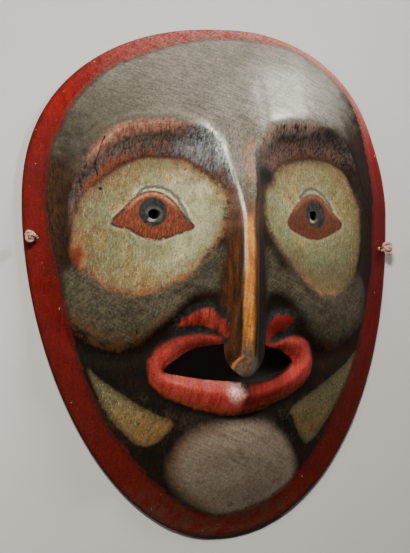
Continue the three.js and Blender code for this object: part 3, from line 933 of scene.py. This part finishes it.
speck = grain(0.9, detail=4, rough=0.6)
dab = grain(2.2, detail=5, rough=0.65)
cloud = grain(5.0, detail=5, rough=0.6)
drift = grain(22.0, detail=3)
fibre = grain(0.7, (1, 16, 6), detail=4)
fibre_wide = grain(1.8, (1, 10, 6), detail=5, rough=0.65)
rub_left = grain(0.8, (14, 1, 4), 24, detail=4, rough=0.6)
rub_right = grain(0.8, (18, 1, 4), -38, detail=4, rough=0.6)
rub_level = grain(0.9, (20, 1, 4), 6, detail=4, rough=0.6)
swept = grain(1.0, (1.2, 7, 3), 12, detail=5, rough=0.7)
fuzz = grain(0.9, (1, 2.6, 2), 10, detail=6, rough=0.75)
wobble = scaled(cloud, 3.0, scaled(dab, 1.4, -2.2))
fine_wobble = scaled(dab, 1.0, scaled(speck, 0.6, -0.8))
proud = mark("crest")
side = times(marked("beak", -2, 5), upward(30, 10))


def without(cover):
    """One less a cover: everything outside it."""
    return coat.step("SUBTRACT", 1.0, cover)


def either(first, second):
    """The larger of two covers."""
    return coat.step("MAXIMUM", first, second)


def uneven(name, amount, low, high, noise=wobble):
    """A fade by a number kept on the mesh, with some of a noise added."""
    return fade(scaled(noise, amount, mark(name)), low, high)


def edge(name, soft=0.4, noise=wobble, amount=0.5):
    """Inside a painted shape, with an uneven brushed edge."""
    return uneven(name, amount, -soft, soft, noise)


# The ground: soot black over brown, rubbed with graphite on the forehead and thin over the cheeks.
face = paint((15, 10, 5), (40, 24, 11), fade(drift, 0.35, 0.68))
streak = grain(1.1, (1, 4, 3), -8, detail=6, rough=0.7)
face.over((66, 42, 22), fade(streak, 0.5, 0.7), 0.4)
face.over((14, 11, 8), fade(fuzz, 0.46, 0.3), 0.5)
low_left_edge = times(rightward(-72, -84), upward(-20, 30), upward(66, 44))
face.over((84, 50, 24), low_left_edge, fade(streak, 0.36, 0.6), 0.6)
# Near black over the face's right side below the brow: painted shade.
face.over((30, 13, 4), rightward(52, 68), upward(70, 44), 0.95)
low_brushing = times(upward(-52, -60), upward(-84, -72), fade(fuzz, 0.4, 0.6))
face.over((62, 56, 46), low_brushing, fade(cloud, 0.4, 0.6), 0.6)
graphite = paint((116, 112, 102), (146, 143, 132), fade(rub_left, 0.36, 0.66))
graphite.over((96, 91, 80), fade(drift, 0.48, 0.7), 0.6)
graphite.over((88, 86, 76), fade(rub_right, 0.5, 0.7), 0.5)
graphite.over((146, 140, 122), fade(rub_level, 0.48, 0.68), 0.5)
graphite.over((142, 116, 100), fade(cloud, 0.58, 0.74), 0.3)
graphite.over((94, 88, 74), rightward(-24, -60), upward(104, 80), 0.75)
upper_left = times(upward(46, 62), rightward(-40, -58), 0.35)
crown = fade(plus(upper_left, scaled(cloud, 0.5, mark("crown"))), 0.3, 1)
face.over(graphite, crown)
inner_brow = times(mark("inner_brow"), fade(swept, 0.3, 0.6))
bristle = scaled(rub_left, 0.35, scaled(fuzz, 0.35, times(rub_right, 0.3)))
cheek_grey = paint((58, 51, 37), (92, 85, 67), fade(bristle, 0.4, 0.6))
cheek_grey.over((40, 34, 24), fade(cloud, 0.48, 0.68), 0.6)
cheek_grey.over((62, 64, 55), fade(drift, 0.5, 0.66), 0.5)
# The right cheek darker: painted shade.
cheek_grey.over((38, 32, 24), rightward(0, 20), 0.35)
below_eyes = scaled(fade(coat.step("ABSOLUTE", across_face), 22, 10), -20.0, up_face)
cheek = times(fade(plus(mark("cheek"), wobble), -0.5, 4.5), fade(below_eyes, 12, 0))
face.over(cheek_grey, cheek)
low_cheek = times(uneven("cheek", 1.5, 10, 2), upward(-12, -22), rightward(10, 0),
                  cheek)
face.over((98, 66, 40), low_cheek, fade(cloud, 0.36, 0.6), 0.75)
fold = times(uneven("cheek", 0.7, -1.6, 0.2),
             uneven("cheek", 0.7, 3.4, 0.6), upward(-8, -16), fade(cloud, 0.36, 0.54),
             fade(coat.step("ABSOLUTE", across_face), 34, 52), fade(streak, 0.36, 0.58))
face.over((120, 74, 42), fold, 0.45)

# Brow bevels: slate black with short orange hatching, and a worn orange-red upper edge.
bevel = scaled(coat.step("SUBTRACT", cloud, 0.5), 0.3, mark("bevel"))
on_bevel = times(fade(plus(mark("socket"), wobble), -0.8, 0.8),
                 fade(plus(mark("patch"), times(wobble, 0.5)), 0.4, -0.3), marked("round_brow", 92, 72),
                 marked("round_brow", -88, -62))
hatch_wave = coat.step("SINE", scaled(mark("round_brow"), 3.0, times(cloud, 30.0)))
hatch = fade(scaled(fibre, 2.4, hatch_wave), 0.9, 2.2)
hatch = times(hatch, fade(grain(9.0, detail=3), 0.4, 0.56), fade(bevel, 0.35, 0.6))
brow = paint((38, 35, 34), (96, 86, 80), fade(fuzz, 0.36, 0.66))
brow.over((22, 21, 22), fade(cloud, 0.5, 0.66), 0.6)
brow.over((116, 76, 56), fade(streak, 0.5, 0.64), 0.5)
brow.over((138, 80, 52), hatch, 0.5)
wide_line = times(marked("round_brow", 10, 26), marked("round_brow", 66, 52), rightward(0, -4), -0.26)
low_line = fade(scaled(dab, -0.3, coat.step("SUBTRACT", bevel, wide_line)), 0.66, 0.84)
brow.over((128, 66, 40), low_line, fade(fuzz, 0.3, 0.54), 0.8)
loose_up = scaled(wobble, 2.5, up_face)
loose_across = scaled(wobble, 2.5, across_face)
# Near black in the corner between the beak and the right brow: painted shade.
shaded_corner = times(fade(loose_up, 55, 48), rightward(4, 8), fade(loose_across, 24, 14))
brow.over((18, 17, 17), shaded_corner)
turn_in = mark("round_brow")
outer_part = times(fade(turn_in, -24, -4), fade(turn_in, 52, 30))
right_part = times(fade(turn_in, -46, -30), fade(turn_in, 14, -6), fade(streak, 0.38, 0.54))
outer_part = blend(outer_part, right_part, rightward(0, 4))
# The brow's upper edge: worn orange-red paint, lightened to pink as a painted highlight on the lit edge.
worn_and_lit_top = times(fade(scaled(fuzz, 0.5, bevel), 0.66, 0.4), fade(cloud, 0.2, 0.46), outer_part)
worn_and_lit_orange = paint((160, 98, 76), (208, 156, 134), fade(streak, 0.4, 0.62))
worn_and_lit_orange.over((178, 156, 140), rightward(0, 4), 0.8)
brow.over(worn_and_lit_orange, worn_and_lit_top, 0.9)
# Bluish silver graphite on the inner brow, lightened, with white specks: painted highlight and glints.
lit_slate_silver = paint((92, 95, 99), (138, 141, 144), fade(fuzz, 0.36, 0.62))
lit_slate_silver.over((222, 222, 218), fade(speck, 0.58, 0.66), fade(bevel, 0.6, 0.2), 0.8)
brow.over(lit_slate_silver, inner_brow, 0.9)
# Darker at the brow's far right end: painted shade.
brow.over((26, 16, 9), rightward(56, 66), fade(loose_up, 64, 54), 0.8)
brow.over(SOOT, fade(bevel, 0.8, 1), 0.8)
face.over(brow, on_bevel)
rim_shade = times(marked("socket", -7, -1), marked("socket", 1, 0), fade(turn_in, -26, -8), upward(40, 52),
                  rightward(4, 0))
face.over((84, 72, 60), rim_shade, fade(cloud, 0.2, 0.5), 0.75)
# The same worn paint with its painted highlight, just over the socket's edge.
over_edge = times(uneven("socket", 0.8, -2.4, -0.4), marked("socket", 2, 0),
                  upward(40, 52), fade(dab, 0.36, 0.6), outer_part)
face.over(worn_and_lit_orange, over_edge, 0.5)
flank = times(marked("ridge", 0, -1), marked("patch", 0, -1.5), marked("ridge", -8, -6), upward(46, 40),
              upward(12, 26))
flank_brown = paint((84, 56, 42), (108, 76, 60), fade(cloud, 0.36, 0.6))
# The right flank darker: painted shade.
flank_brown.over((56, 41, 31), rightward(2, 6), 0.9)
face.over(flank_brown, flank, 0.9)
# A near-white line along the inner upper edge of the left socket: a painted highlight.
inner_brow_highlight = times(fade(coat.step("ABSOLUTE", scaled(wobble, 0.6, mark("socket"))), 5.5, 0.5),
               fade(turn_in, -14, -34), rightward(2, -2), upward(44, 56))
face.over((206, 207, 200), inner_brow_highlight, fade(fuzz, 0.38, 0.56), 0.6)

# Eye patches: pale green over grey, thin and brushed, worn to orange brown along the border.
patch_green = paint((122, 104, 60), (164, 149, 98), fade(cloud, 0.34, 0.6))
patch_green.over((196, 188, 146), fade(fuzz, 0.48, 0.68), 0.6)
# Paler near the beak: painted light.
lit_near_beak = times(rightward(-46, -18), rightward(8, -4))
patch_green.over((228, 218, 172), lit_near_beak, 0.92)
round_eye = times(uneven("almond", 2.0, -11, -2), fade(cloud, 0.4, 0.6))
patch_green.over((196, 146, 104), round_eye, 0.4)
green = fade(plus(times(rightward(-46, -24), 0.1), drift), 0.46, 0.58)
patch_green.over((122, 148, 114), green, fade(fuzz, 0.26, 0.56), 0.7)
blotch = fade(grain(8.0, detail=6, rough=0.7), 0.46, 0.64)
patch_green.over((116, 98, 58), blotch, 0.5)
patch_green.over((98, 84, 56), fade(swept, 0.54, 0.72), 0.45)
patch_green.over((92, 80, 54), fade(fuzz, 0.46, 0.34), 0.5)
patch_green.over((118, 82, 46), upward(36, 50), fade(dab, 0.3, 0.6), 0.55)
patch_green.over((118, 84, 48), upward(12, -6), fade(dab, 0.3, 0.6), 0.6)
# Darker towards the outer sides: painted shade.
outward = coat.step("ABSOLUTE", coat.step("SUBTRACT", across_face, 4.0))
patch_green.over((96, 76, 44), fade(outward, 38, 72), 0.55)
shaded_border = uneven("patch", 1.5, 11, 0)
patch_green.over((112, 88, 56), shaded_border, 0.6)
hair = grain(0.5, (1, 7, 3), 6, detail=3, rough=0.7)
patch_green.over((98, 80, 52), fade(hair, 0.54, 0.66), 0.5)
patch_green.over((214, 206, 170), fade(hair, 0.44, 0.32), 0.35)
# The right patch darker, most at its bottom: painted shade.
shaded_right_patch = times(rightward(0, 4), blend(0.27, 0.72, upward(26, 0)))
patch_green.over((78, 68, 44), shaded_right_patch)
patch_green.over((60, 44, 28), fade(grain(1.6, detail=1), 0.73, 0.77))
rough_border = scaled(wobble, 1.2, mark("patch"))
border = times(fade(rough_border, -1.6, -0.2), fade(rough_border, 3.6, 0.4))
rust = paint((62, 38, 24), (124, 70, 44), fade(cloud, 0.4, 0.6))
# The border darker at the far right: painted shade.
rust.over((40, 26, 17), rightward(56, 66), 0.9)
face.over(patch_green, edge("patch", 1.2))
strong = times(fade(grain(13.0, detail=2), 0.46, 0.66), 0.6)
inward = times(upward(6, -2), rightward(52, 44))
# The right patch's border a darker brown: painted shade.
rust.over((64, 46, 32), rightward(2, 6), upward(0, 6))
inward = times(either(inward, rightward(-26, -16)), rightward(56, 50), fade(dab, 0.36, 0.56))
strong = either(strong, inward)
face.over(rust, border, scaled(strong, 0.75, 0.16))
scuff = scaled(wobble, 1.2, mark("scuff"))
in_scuff = marked("patch", -3, -0.5)
face.over((150, 92, 54), fade(scuff, 9, 4), fade(fuzz, 0.34, 0.54), in_scuff, 0.6)
face.over((104, 36, 15), fade(scuff, 5.6, 2), fade(fuzz, 0.28, 0.46), in_scuff, 0.95)

# Eyes: a red-brown almond, a slate iris round the pupil hole and a slate line for the lid.
almond = edge("almond", 0.4, fine_wobble, 1.8)
halo = times(marked("almond", -2.6, -0.4), marked("almond", 1, 0))
face.over((204, 184, 140), halo, fade(dab, 0.4, 0.6), blend(0.7, 0.3, rightward(0, 4)))
almond_red = paint((84, 34, 15), (112, 49, 23), fade(fuzz, 0.34, 0.6))
almond_red.over((156, 96, 68), fade(hair, 0.48, 0.6), 0.35)
warm_edge = times(marked("almond", 3.2, 0.8), upward(28, 36))
almond_red.over((206, 140, 104), warm_edge, fade(dab, 0.3, 0.5), 0.8)
# The right almond darker: painted shade.
almond_red.over((68, 38, 18), rightward(0, 4), 0.7)
face.over(almond_red, almond)
rim_line = scaled(fine_wobble, 0.8, mark("almond"))
rim_line = times(fade(rim_line, -0.9, -0.1), fade(rim_line, 1.3, 0.4))
face.over((50, 33, 26), rim_line, fade(dab, 0.36, 0.5), blend(0.85, 0.35, rightward(0, 4)))
iris_slate = paint((22, 23, 22), (50, 50, 47), fade(dab, 0.4, 0.64))
iris_slate.over((104, 100, 90), marked("pupil", 4.6, 2.8), fade(cloud, 0.44, 0.56), 0.5)
face.over(iris_slate, edge("iris", 0.45, fine_wobble, 1.2))
face.over((170, 160, 144), uneven("pupil_chip", 1.0, 2.2, 1.2, fine_wobble), 0.75)
lid = uneven("lid", 0.9, 1.4, 0.4, fine_wobble)
# A pale strip between the lid line and the almond: a painted highlight.
lit_strip_under_lid = times(marked("lid", 3.4, 1), marked("almond", 0.2, -0.6), marked("almond", -4, -2.4))
face.over((222, 204, 174), lit_strip_under_lid, fade(dab, 0.34, 0.52), blend(0.7, 0.2, rightward(0, 4)))
face.over((66, 70, 64), lid, fade(fuzz, 0.24, 0.42), 0.85)

# Beak: brown sides, and an ochre ridge that is rubbed grey between the brows and brown at the tip.
side_brown = paint((36, 20, 9), (92, 52, 24), fade(fibre_wide, 0.32, 0.68))
# The right side near black: painted shade.
side_brown.over((18, 9, 4), rightward(3, 5.5), 0.95)
face.over(side_brown, side)
right_side = marked("ridge_right", -0.5, 2)
in_ridge = scaled(wobble, 0.35, scaled(right_side, -1.2, mark("ridge")))
ridge = times(blend(fade(in_ridge, -0.7, 0.5), fade(in_ridge, -1.6, 1.4), right_side),
              fade(scaled(fibre_wide, 14.0, up_face), 42, 30))
ridge_ochre = paint((150, 84, 28), (206, 140, 66), fade(fibre_wide, 0.34, 0.62))
ridge_ochre.over((70, 42, 18), fade(dab, 0.58, 0.68), upward(20, -10), 0.8)
ridge_ochre.over((232, 176, 104), fade(dab, 0.56, 0.7), upward(-30, -10), 0.6)
face.over(ridge_ochre, ridge)
in_tip = scaled(coat.step("SUBTRACT", dab, 0.5), 1.6, mark("tip"))
tip_brown = paint((84, 64, 50), (122, 98, 80), fade(dab, 0.36, 0.64))
tip_brown.over((72, 74, 66), rightward(1, 4), 0.5)
# An orange crescent on the tip's left edge: a painted highlight.
tip_edge_highlight = times(fade(in_tip, -0.5, 0.1), fade(in_tip, 1.1, 0.5), rightward(-0.5, -2.5), upward(-46, -44.5),
                 fade(fuzz, 0.26, 0.46))
worn_tip = fade(scaled(fibre_wide, 9.0, up_face), -22, -34)
face.over(tip_brown, ridge, worn_tip)
face.over(tip_brown, fade(in_tip, -1.2, 2.6))
face.over((190, 120, 60), tip_edge_highlight)
bridge = times(fade(in_ridge, -0.8, 0.6), upward(12, 30), upward(78, 62), without(ridge))
bridge_grey = paint((94, 91, 80), (128, 124, 109), fade(fuzz, 0.36, 0.62))
rubbed_wood = times(marked("ridge_right", -3, 2.5), upward(36, 43), upward(70, 60), fade(cloud, 0.26, 0.6))
bridge_grey.over(paint((128, 98, 76), (172, 128, 102), fade(hair, 0.4, 0.6)), rubbed_wood, 0.8)
low_bridge = times(upward(47, 42), fade(speck, 0.42, 0.54))
bridge_grey.over((70, 60, 52), low_bridge, 0.75)
bridge_grey.over((104, 66, 42), upward(38, 31), fade(dab, 0.34, 0.54), 0.8)
face.over(bridge_grey, bridge)
# A pale line along the ridge's left edge: worn paint, and a painted highlight.
worn_lit_line = plus(mark("ridge"), scaled(fine_wobble, 0.5, -0.6))
worn_lit_line = times(fade(worn_lit_line, -1.3, -0.4), fade(worn_lit_line, 1, 0), marked("ridge_right", 0.4, -0.6),
                blend(1.0, 0.35, upward(36, 46)), upward(60, 50), blend(1.0, 0.4, upward(18, 6)),
                upward(-34, -6))
worn_lit_pale = paint((230, 172, 102), (230, 224, 210), upward(18, 32))
face.over(worn_lit_pale, worn_lit_line, fade(fuzz, 0.3, 0.5), 0.9)

# Nostril wings and lips, with soot drawn round them, and the red that the rim band starts from.
around_lips = fade(plus(mark("lips"), wobble), -5.5, -1)
face.over(SOOT, around_lips, fade(side, 0.9, 0.3), 0.85)
off_ridge = marked("ridge", -3, -5)
slate = paint((24, 26, 26), (50, 53, 53), fade(dab, 0.4, 0.66))
around_wings = times(fade(plus(mark("wing"), wobble), -4.6, -1.6), off_ridge)
face.over(slate, around_wings, 0.9)
rim_red = paint((112, 8, 4), (132, 16, 9), fade(fibre_wide, 0.36, 0.62))
rim_red.over((78, 11, 6), fade(drift, 0.46, 0.7), 0.55)
rim_red.over((146, 44, 30), fade(cloud, 0.58, 0.74), 0.35)
wing = times(edge("wing", 1.0, plus(wobble, times(fine_wobble, 1.5)), 0.9), off_ridge)
# The paler red only on the left wing, so the right wing is darker: painted shade.
wing_red = paint((110, 24, 17), (158, 62, 48), times(fade(fibre_wide, 0.42, 0.64), rightward(6, 0)))
face.over(wing_red, wing)
lips = times(edge("lips", 0.9, plus(wobble, fine_wobble), 0.7), marked("beak", 3.5, 1.5))
lip_red = paint((168, 47, 41), (198, 78, 70), fade(fibre_wide, 0.34, 0.62))
lip_red.over((112, 32, 22), fade(fuzz, 0.5, 0.66), 0.55)
lip_red.over((196, 92, 76), fade(fuzz, 0.46, 0.32), 0.5)
# Darker on the right of the lower lip: painted shade.
lip_red.over((96, 14, 10), rightward(3, 8), rightward(38, 24), upward(-40, -48), 0.8)
# The upper lip darker: painted shade.
lip_red.over((108, 40, 30), upward(-38, -33), 0.6)
lip_red.over((100, 26, 20), marked("lips", 4.5, 0.8), fade(dab, 0.3, 0.6), 0.6)
# Pink along the inner edge of the lower lip's left: a painted highlight.
lip_red.over((190, 104, 90), upward(-46, -52), marked("mouth", -6, -1), rightward(4, -4), 0.6)
lip_red.over((170, 84, 44), marked("lips", 4.6, 0.6), upward(-48, -56), fade(dab, 0.42, 0.58), 0.9)
# A pale spot on the lower lip: rubbed paint, and a painted highlight.
rubbed_glint = uneven("lip_rub_highlight", 1.4, 6.4, 1.4)
lip_red.over((250, 206, 198), rubbed_glint, fade(fuzz, 0.28, 0.54), 0.95)
# A dark spot on the lower lip: painted shade.
lip_shade_spot = uneven("lip_shade_spot", 1.6, 2.6, 1.2, fine_wobble)
lip_red.over((62, 14, 10), lip_shade_spot, 0.85)
face.over(lip_red, lips)

# Chin and jaw patches: thin taupe and ochre.
chin_taupe = paint((112, 99, 83), (132, 118, 103), fade(rub_left, 0.34, 0.66))
# Lighter towards the bottom of the chin: painted light.
chin_taupe.over((138, 125, 110), upward(-88, -106), 0.6)
chin_taupe.over((120, 108, 94), fade(rub_right, 0.46, 0.66), 0.5)
chin_taupe.over((84, 62, 44), fade(cloud, 0.52, 0.72), 0.45)
chin_edge = uneven("chin", 1.6, 8, 1)
chin_taupe.over((88, 66, 46), chin_edge, rightward(4, -10), 0.7)
face.over(chin_taupe, edge("chin", 3.2, wobble, 1.0))
jaw_ochre = paint((112, 92, 56), (140, 118, 78), fade(fuzz, 0.36, 0.62))
jaw_ochre.over((108, 104, 80), upward(-66, -56), 0.7)
jaw_ochre.over((138, 88, 44), upward(-64, -70), fade(cloud, 0.46, 0.62), 0.8)
jaw_ochre.over((60, 48, 30), fade(dab, 0.52, 0.64), 0.55)
jaw_ochre.over((70, 60, 38), uneven("jaw", 1.0, 3.4, 0.4), 0.6)
jaw_ochre.over((196, 186, 150), fade(speck, 0.64, 0.68), upward(-70, -60), 0.7)
# The right jaw darker: painted shade.
jaw_ochre.over((68, 64, 46), rightward(-2, 2), 0.5)
face.over(jaw_ochre, edge("jaw", 0.8, plus(wobble, fine_wobble), 0.5))

# Rim band: red, brushed over the edge of the ground, pinker at the crown with rubbing and a painted sheen,
# and darker lower down and to the right with painted shade.
sweep = scaled(grain(12.0, detail=2), 1.2, -0.6)
band = fade(plus(times(sweep, 0.6), mark("field")), 1, -0.8)
# Pinker towards the crown's left: rubbed paint, and a painted sheen.
rim_red.over((180, 126, 118), upward(78, 116), rightward(-96, 0), fade(bristle, 0.36, 0.6), 0.75)
# Pale pink at the upper right: a painted highlight.
rim_red.over((186, 116, 106), upward(60, 90), rightward(30, 56), marked("field", -9, -2), 0.5)
# Darker lower down, at the lower right and at the bottom: painted shade.
rim_red.over((82, 13, 8), upward(80, 20), 0.45)
rim_red.over((70, 10, 7), rightward(40, 80), upward(80, 40), 0.5)
rim_red.over((78, 26, 17), upward(0, -70), 0.5)
rim_red.over((80, 48, 36), upward(-96, -112), fade(cloud, 0.34, 0.6), 0.85)
face.over(SOOT, marked("field", 1.8, 0.2), 0.5)
face.over(rim_red, band)

# Wear: bare wood on proud edges, chips in the rim, darker grooves, the drying cracks.
worn = fade(scaled(dab, 0.4, proud), 0.34, 0.5)
plain = times(fade(band, 0.6, 0.2), fade(lips, 0.6, 0.2), fade(side, 0.4, 0.1), fade(wing, 0.5, 0.1),
              rightward(58, 48))
face.over((112, 70, 44), worn, plain, 0.4)
# The grooves darkened.
face.over(SOOT, fade(proud, -0.1, -0.4), 0.6)
chip = times(fade(grain(2.6, detail=3), 0.71, 0.74), band)
face.over((196, 136, 110), chip)
crack = marked("crack", 0.5, 0.15)
face.over((14, 9, 6), crack, 0.9)
face.over(SOOT, marked("nail", 1.1, 0.7))
face.mottle(speck, 0.68, 1.24)
face.mottle(fuzz, 0.73, 1.23)

# Bare wood behind: the rim's foot, the holes and the hollow.
below_skin = uneven("skin", 0.5, 2.2, 2.8)
bare_wood = paint((80, 52, 30), (136, 96, 58), fade(fibre_wide, 0.3, 0.7))
bare_wood.over((58, 37, 22), fade(drift, 0.42, 0.7), 0.7)
# Dark red on the mouth's walls: the lips' red, darkened with painted shade.
bare_wood.over((52, 14, 10), marked("mouth", -2.5, -0.6))
# Near black in the pupil holes: painted shade.
bare_wood.over((8, 6, 5), marked("pupil", 3.4, 2.8))
face.over(bare_wood, below_skin)

# How rough each part is: polished graphite and red lips, matt soot and bare wood.
roughness = blend(0.62, scaled(rub_left, 0.3, 0.2), crown)
roughness = blend(roughness, 0.3, times(inner_brow, on_bevel))
roughness = blend(roughness, 0.8, rim_shade)
roughness = blend(roughness, 0.62, edge("patch"))
roughness = blend(roughness, blend(0.5, 0.78, either(upward(-46, -37), rightward(3, 9))), lips)
roughness = blend(roughness, 0.42, times(marked("ridge", -3, 0), upward(76, 60)))
roughness = blend(roughness, 0.62, band)
roughness = blend(roughness, 0.72, times(upward(4, -8), without(lips), fade(side, 0.4, 0.1)))
roughness = blend(roughness, 0.85, times(rightward(62, 74), fade(band, 0.6, 0.2)))
roughness = plus(roughness, scaled(dab, 0.24, -0.12))
roughness = blend(roughness, 0.85, below_skin)

# Fine relief: fibres, brush marks, chips and cracks, smoother under the rubbed graphite.
relief = scaled(fibre, 0.05, times(swept, 0.08))
relief = scaled(dab, 0.09, relief)
relief = scaled(fuzz, 0.1, scaled(cloud, 0.13, relief))
relief = times(relief, scaled(crown, -0.6, 1.0))
relief = scaled(chip, -0.25, relief)
relief = scaled(crack, -0.5, relief)
relief = scaled(band, 0.05, relief)

# Hands have polished the ridge and the lower lip, and the graphite has a dull metal sheen.
polished = times(marked("ridge", -3, 0), upward(76, 60))
polished = times(polished, either(marked("ridge_right", 0, -2.5), upward(32, 22)))
polished = either(polished, times(lips, upward(-36, -46), rightward(8, 2), 0.4))
GRAPHITE_SHEEN = 0.34
POLISH = 0.6
POLISH_ROUGHNESS = 0.3
PAINT_GLOSS = 0.15
coat.feed(coat.shader.inputs["Metallic"], times(crown, without(rim_shade), GRAPHITE_SHEEN))
coat.feed(coat.shader.inputs["Coat Weight"], times(polished, fade(below_skin, 0.6, 0.2), POLISH))
coat.shader.inputs["Coat Roughness"].default_value = POLISH_ROUGHNESS
coat.shader.inputs["Specular IOR Level"].default_value = PAINT_GLOSS
coat.dress(mask, face, roughness, relief)
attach(mask, "root")
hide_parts("mask_shell")

# The cord: thin pinkish twine of two twisted plies, threaded through the two side holes from behind.
# It lies slack in the hollow and a stopper knot outside each hole keeps it in place. It is darker in the
# groove between the plies, as painted shade, and dusted with the rim's red.
CORD_DIAMETER = 2.0
CORD_STEP = 0.5
PLY_TURN = 4.6
CORD_ROUTE = [
    (-91, 18.2, 4.95), (-87, 18.2, 4.3), (-83, 18.1, 3.7), (-79, 17.5, 2.8), (-75, 15.5, 1.8),
    (-70, 12, 1.2), (-63, 6, 1.1), (-55, -3, 1.1), (-45, -12, 1.1), (-33, -18, 1.1), (-20, -19, 1.1),
    (-8, -14, 1.1), (3, -6, 1.1), (14, 3, 1.1), (26, 10, 1.1), (39, 11, 1.1), (50, 6, 1.1), (60, 4, 1.1),
    (67, 8, 1.1), (72, 13.5, 1.4), (77, 17.5, 2.4), (82, 19.1, 3.5), (87, 19.2, 4.2), (91.2, 19.2, 4.75),
]


def twine_rings(path, radius, axis, closed=False, sides=20):
    """Rings across a path: two round plies side by side, turning about the path as it goes.

    The radius at an angle is the larger reach of the two plies there, with small waves of loose fibre."""
    if closed:
        line = np.roll(path, -1, axis=0) - np.roll(path, 1, axis=0)
    else:
        line = np.gradient(path, axis=0)
    line = line / np.linalg.norm(line, axis=1, keepdims=True)
    right = np.cross(line, axis)
    right = right / np.linalg.norm(right, axis=1, keepdims=True)
    up = np.cross(right, line)
    run = run_along(path)
    turns = run[-1] + np.linalg.norm(path[0] - path[-1]) if closed else run[-1]
    pitch = turns / max(round(turns / PLY_TURN), 1)
    angle = np.linspace(0, 2 * math.pi, sides, endpoint=False)[None, :]
    ply = np.abs(np.cos(angle - 2 * math.pi * run[:, None] / pitch))
    reach = radius * (0.5 * ply + np.sqrt(np.maximum(0.25 - 0.25 * (1 - ply**2) * 0.9, 0.02)))
    reach = reach * (1 + 0.04 * np.sin(5 * angle + 3.1 * run[:, None]))
    ring = np.cos(angle)[..., None] * right[:, None] + np.sin(angle)[..., None] * up[:, None]
    return path[:, None] + reach[..., None] * ring, ply


def closed_tube(rings):
    """A ring-shaped tube: its last ring joins its first."""
    stations, count = rings.shape[:2]
    index = np.arange(stations * count).reshape(stations, count)
    faces = []
    for above, below in zip(index, np.roll(index, -1, axis=0)):
        faces += ring_faces(above, below)
    return rings.reshape(-1, 3), np.concatenate(faces)


cord_path = smooth_line(CORD_ROUTE, int(run_along(CORD_ROUTE)[-1] / CORD_STEP) + 1)
cord_rings, cord_plies = twine_rings(cord_path, CORD_DIAMETER / 2, (0.0, 0.0, 1.0))
cord = piece_of("twine_cord", loft_body(cord_rings))
keep(cord, "ply", np.append(cord_plies.ravel(), [1.0, 1.0]))
cord.data.shade_smooth()
twine = Finish("twine")
strand = twine.grain(0.35, detail=4, rough=0.7)
soil = twine.grain(2.4, detail=3)
beige = twine.paint((176, 134, 116), (222, 190, 172), twine.fade(strand, 0.35, 0.65))
beige.over((150, 92, 78), twine.fade(soil, 0.45, 0.7), 0.6)
# Darker in the groove between the plies: painted shade.
beige.over((92, 56, 44), twine.fade(twine.mark("ply"), 0.45, 0.1))
dryness = twine.scaled(strand, 0.15, 0.8)
twine.dress(cord, beige, dryness, twine.scaled(strand, 0.3, twine.times(soil, 0.1)), 0.6)
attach(cord, "root")
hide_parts("hanging_cord")

# The two stopper knots: overhand knots in the ends of the same twine, drawn tight outside the side holes.
# Each is wider than its hole, so the cord can't slip back through. For each knot: its part of the CAD, its
# middle, its size and its turn.
KNOTS = {
    "knot_left": ("cord_knot_left", (-93.4, 18.2, 8.1), (5.6, 6.8, 6.4), 0.6),
    "knot_right": ("cord_knot_right", (93.8, 19.2, 7.8), (5.8, 7.2, 6.2), 2.1),
}
KNOT_STRAND = 1.5


def knot_body(centre, size, turn, steps=150):
    """The three-lobed path of an overhand knot, flattened along X, carrying the cord's two plies.

    In its own plane the path is the sum of a circle and a circle of twice the radius that turns twice as
    fast."""
    t = np.linspace(0, 2 * math.pi, steps, endpoint=False)
    in_plane = np.stack([np.sin(t) + 2 * np.sin(2 * t), np.cos(t) - 2 * np.cos(2 * t)], axis=1) / 3
    c, s = math.cos(turn), math.sin(turn)
    in_plane = in_plane @ np.array([[c, s], [-s, c]])
    half = np.array(size) / 2 - KNOT_STRAND
    path = np.column_stack([-np.sin(3 * t) * half[0], in_plane * half[1:]]) + centre
    return twine_rings(path, KNOT_STRAND, (1.0, 0.0, 0.0), closed=True)


for name, (node, centre, size, turn) in KNOTS.items():
    knot_rings, knot_plies = knot_body(centre, size, turn)
    knot = piece_of(name, closed_tube(knot_rings))
    keep(knot, "ply", knot_plies.ravel())
    knot.data.shade_smooth()
    knot.data.materials.append(twine.material)
    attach(knot, "root")
    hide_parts(node)
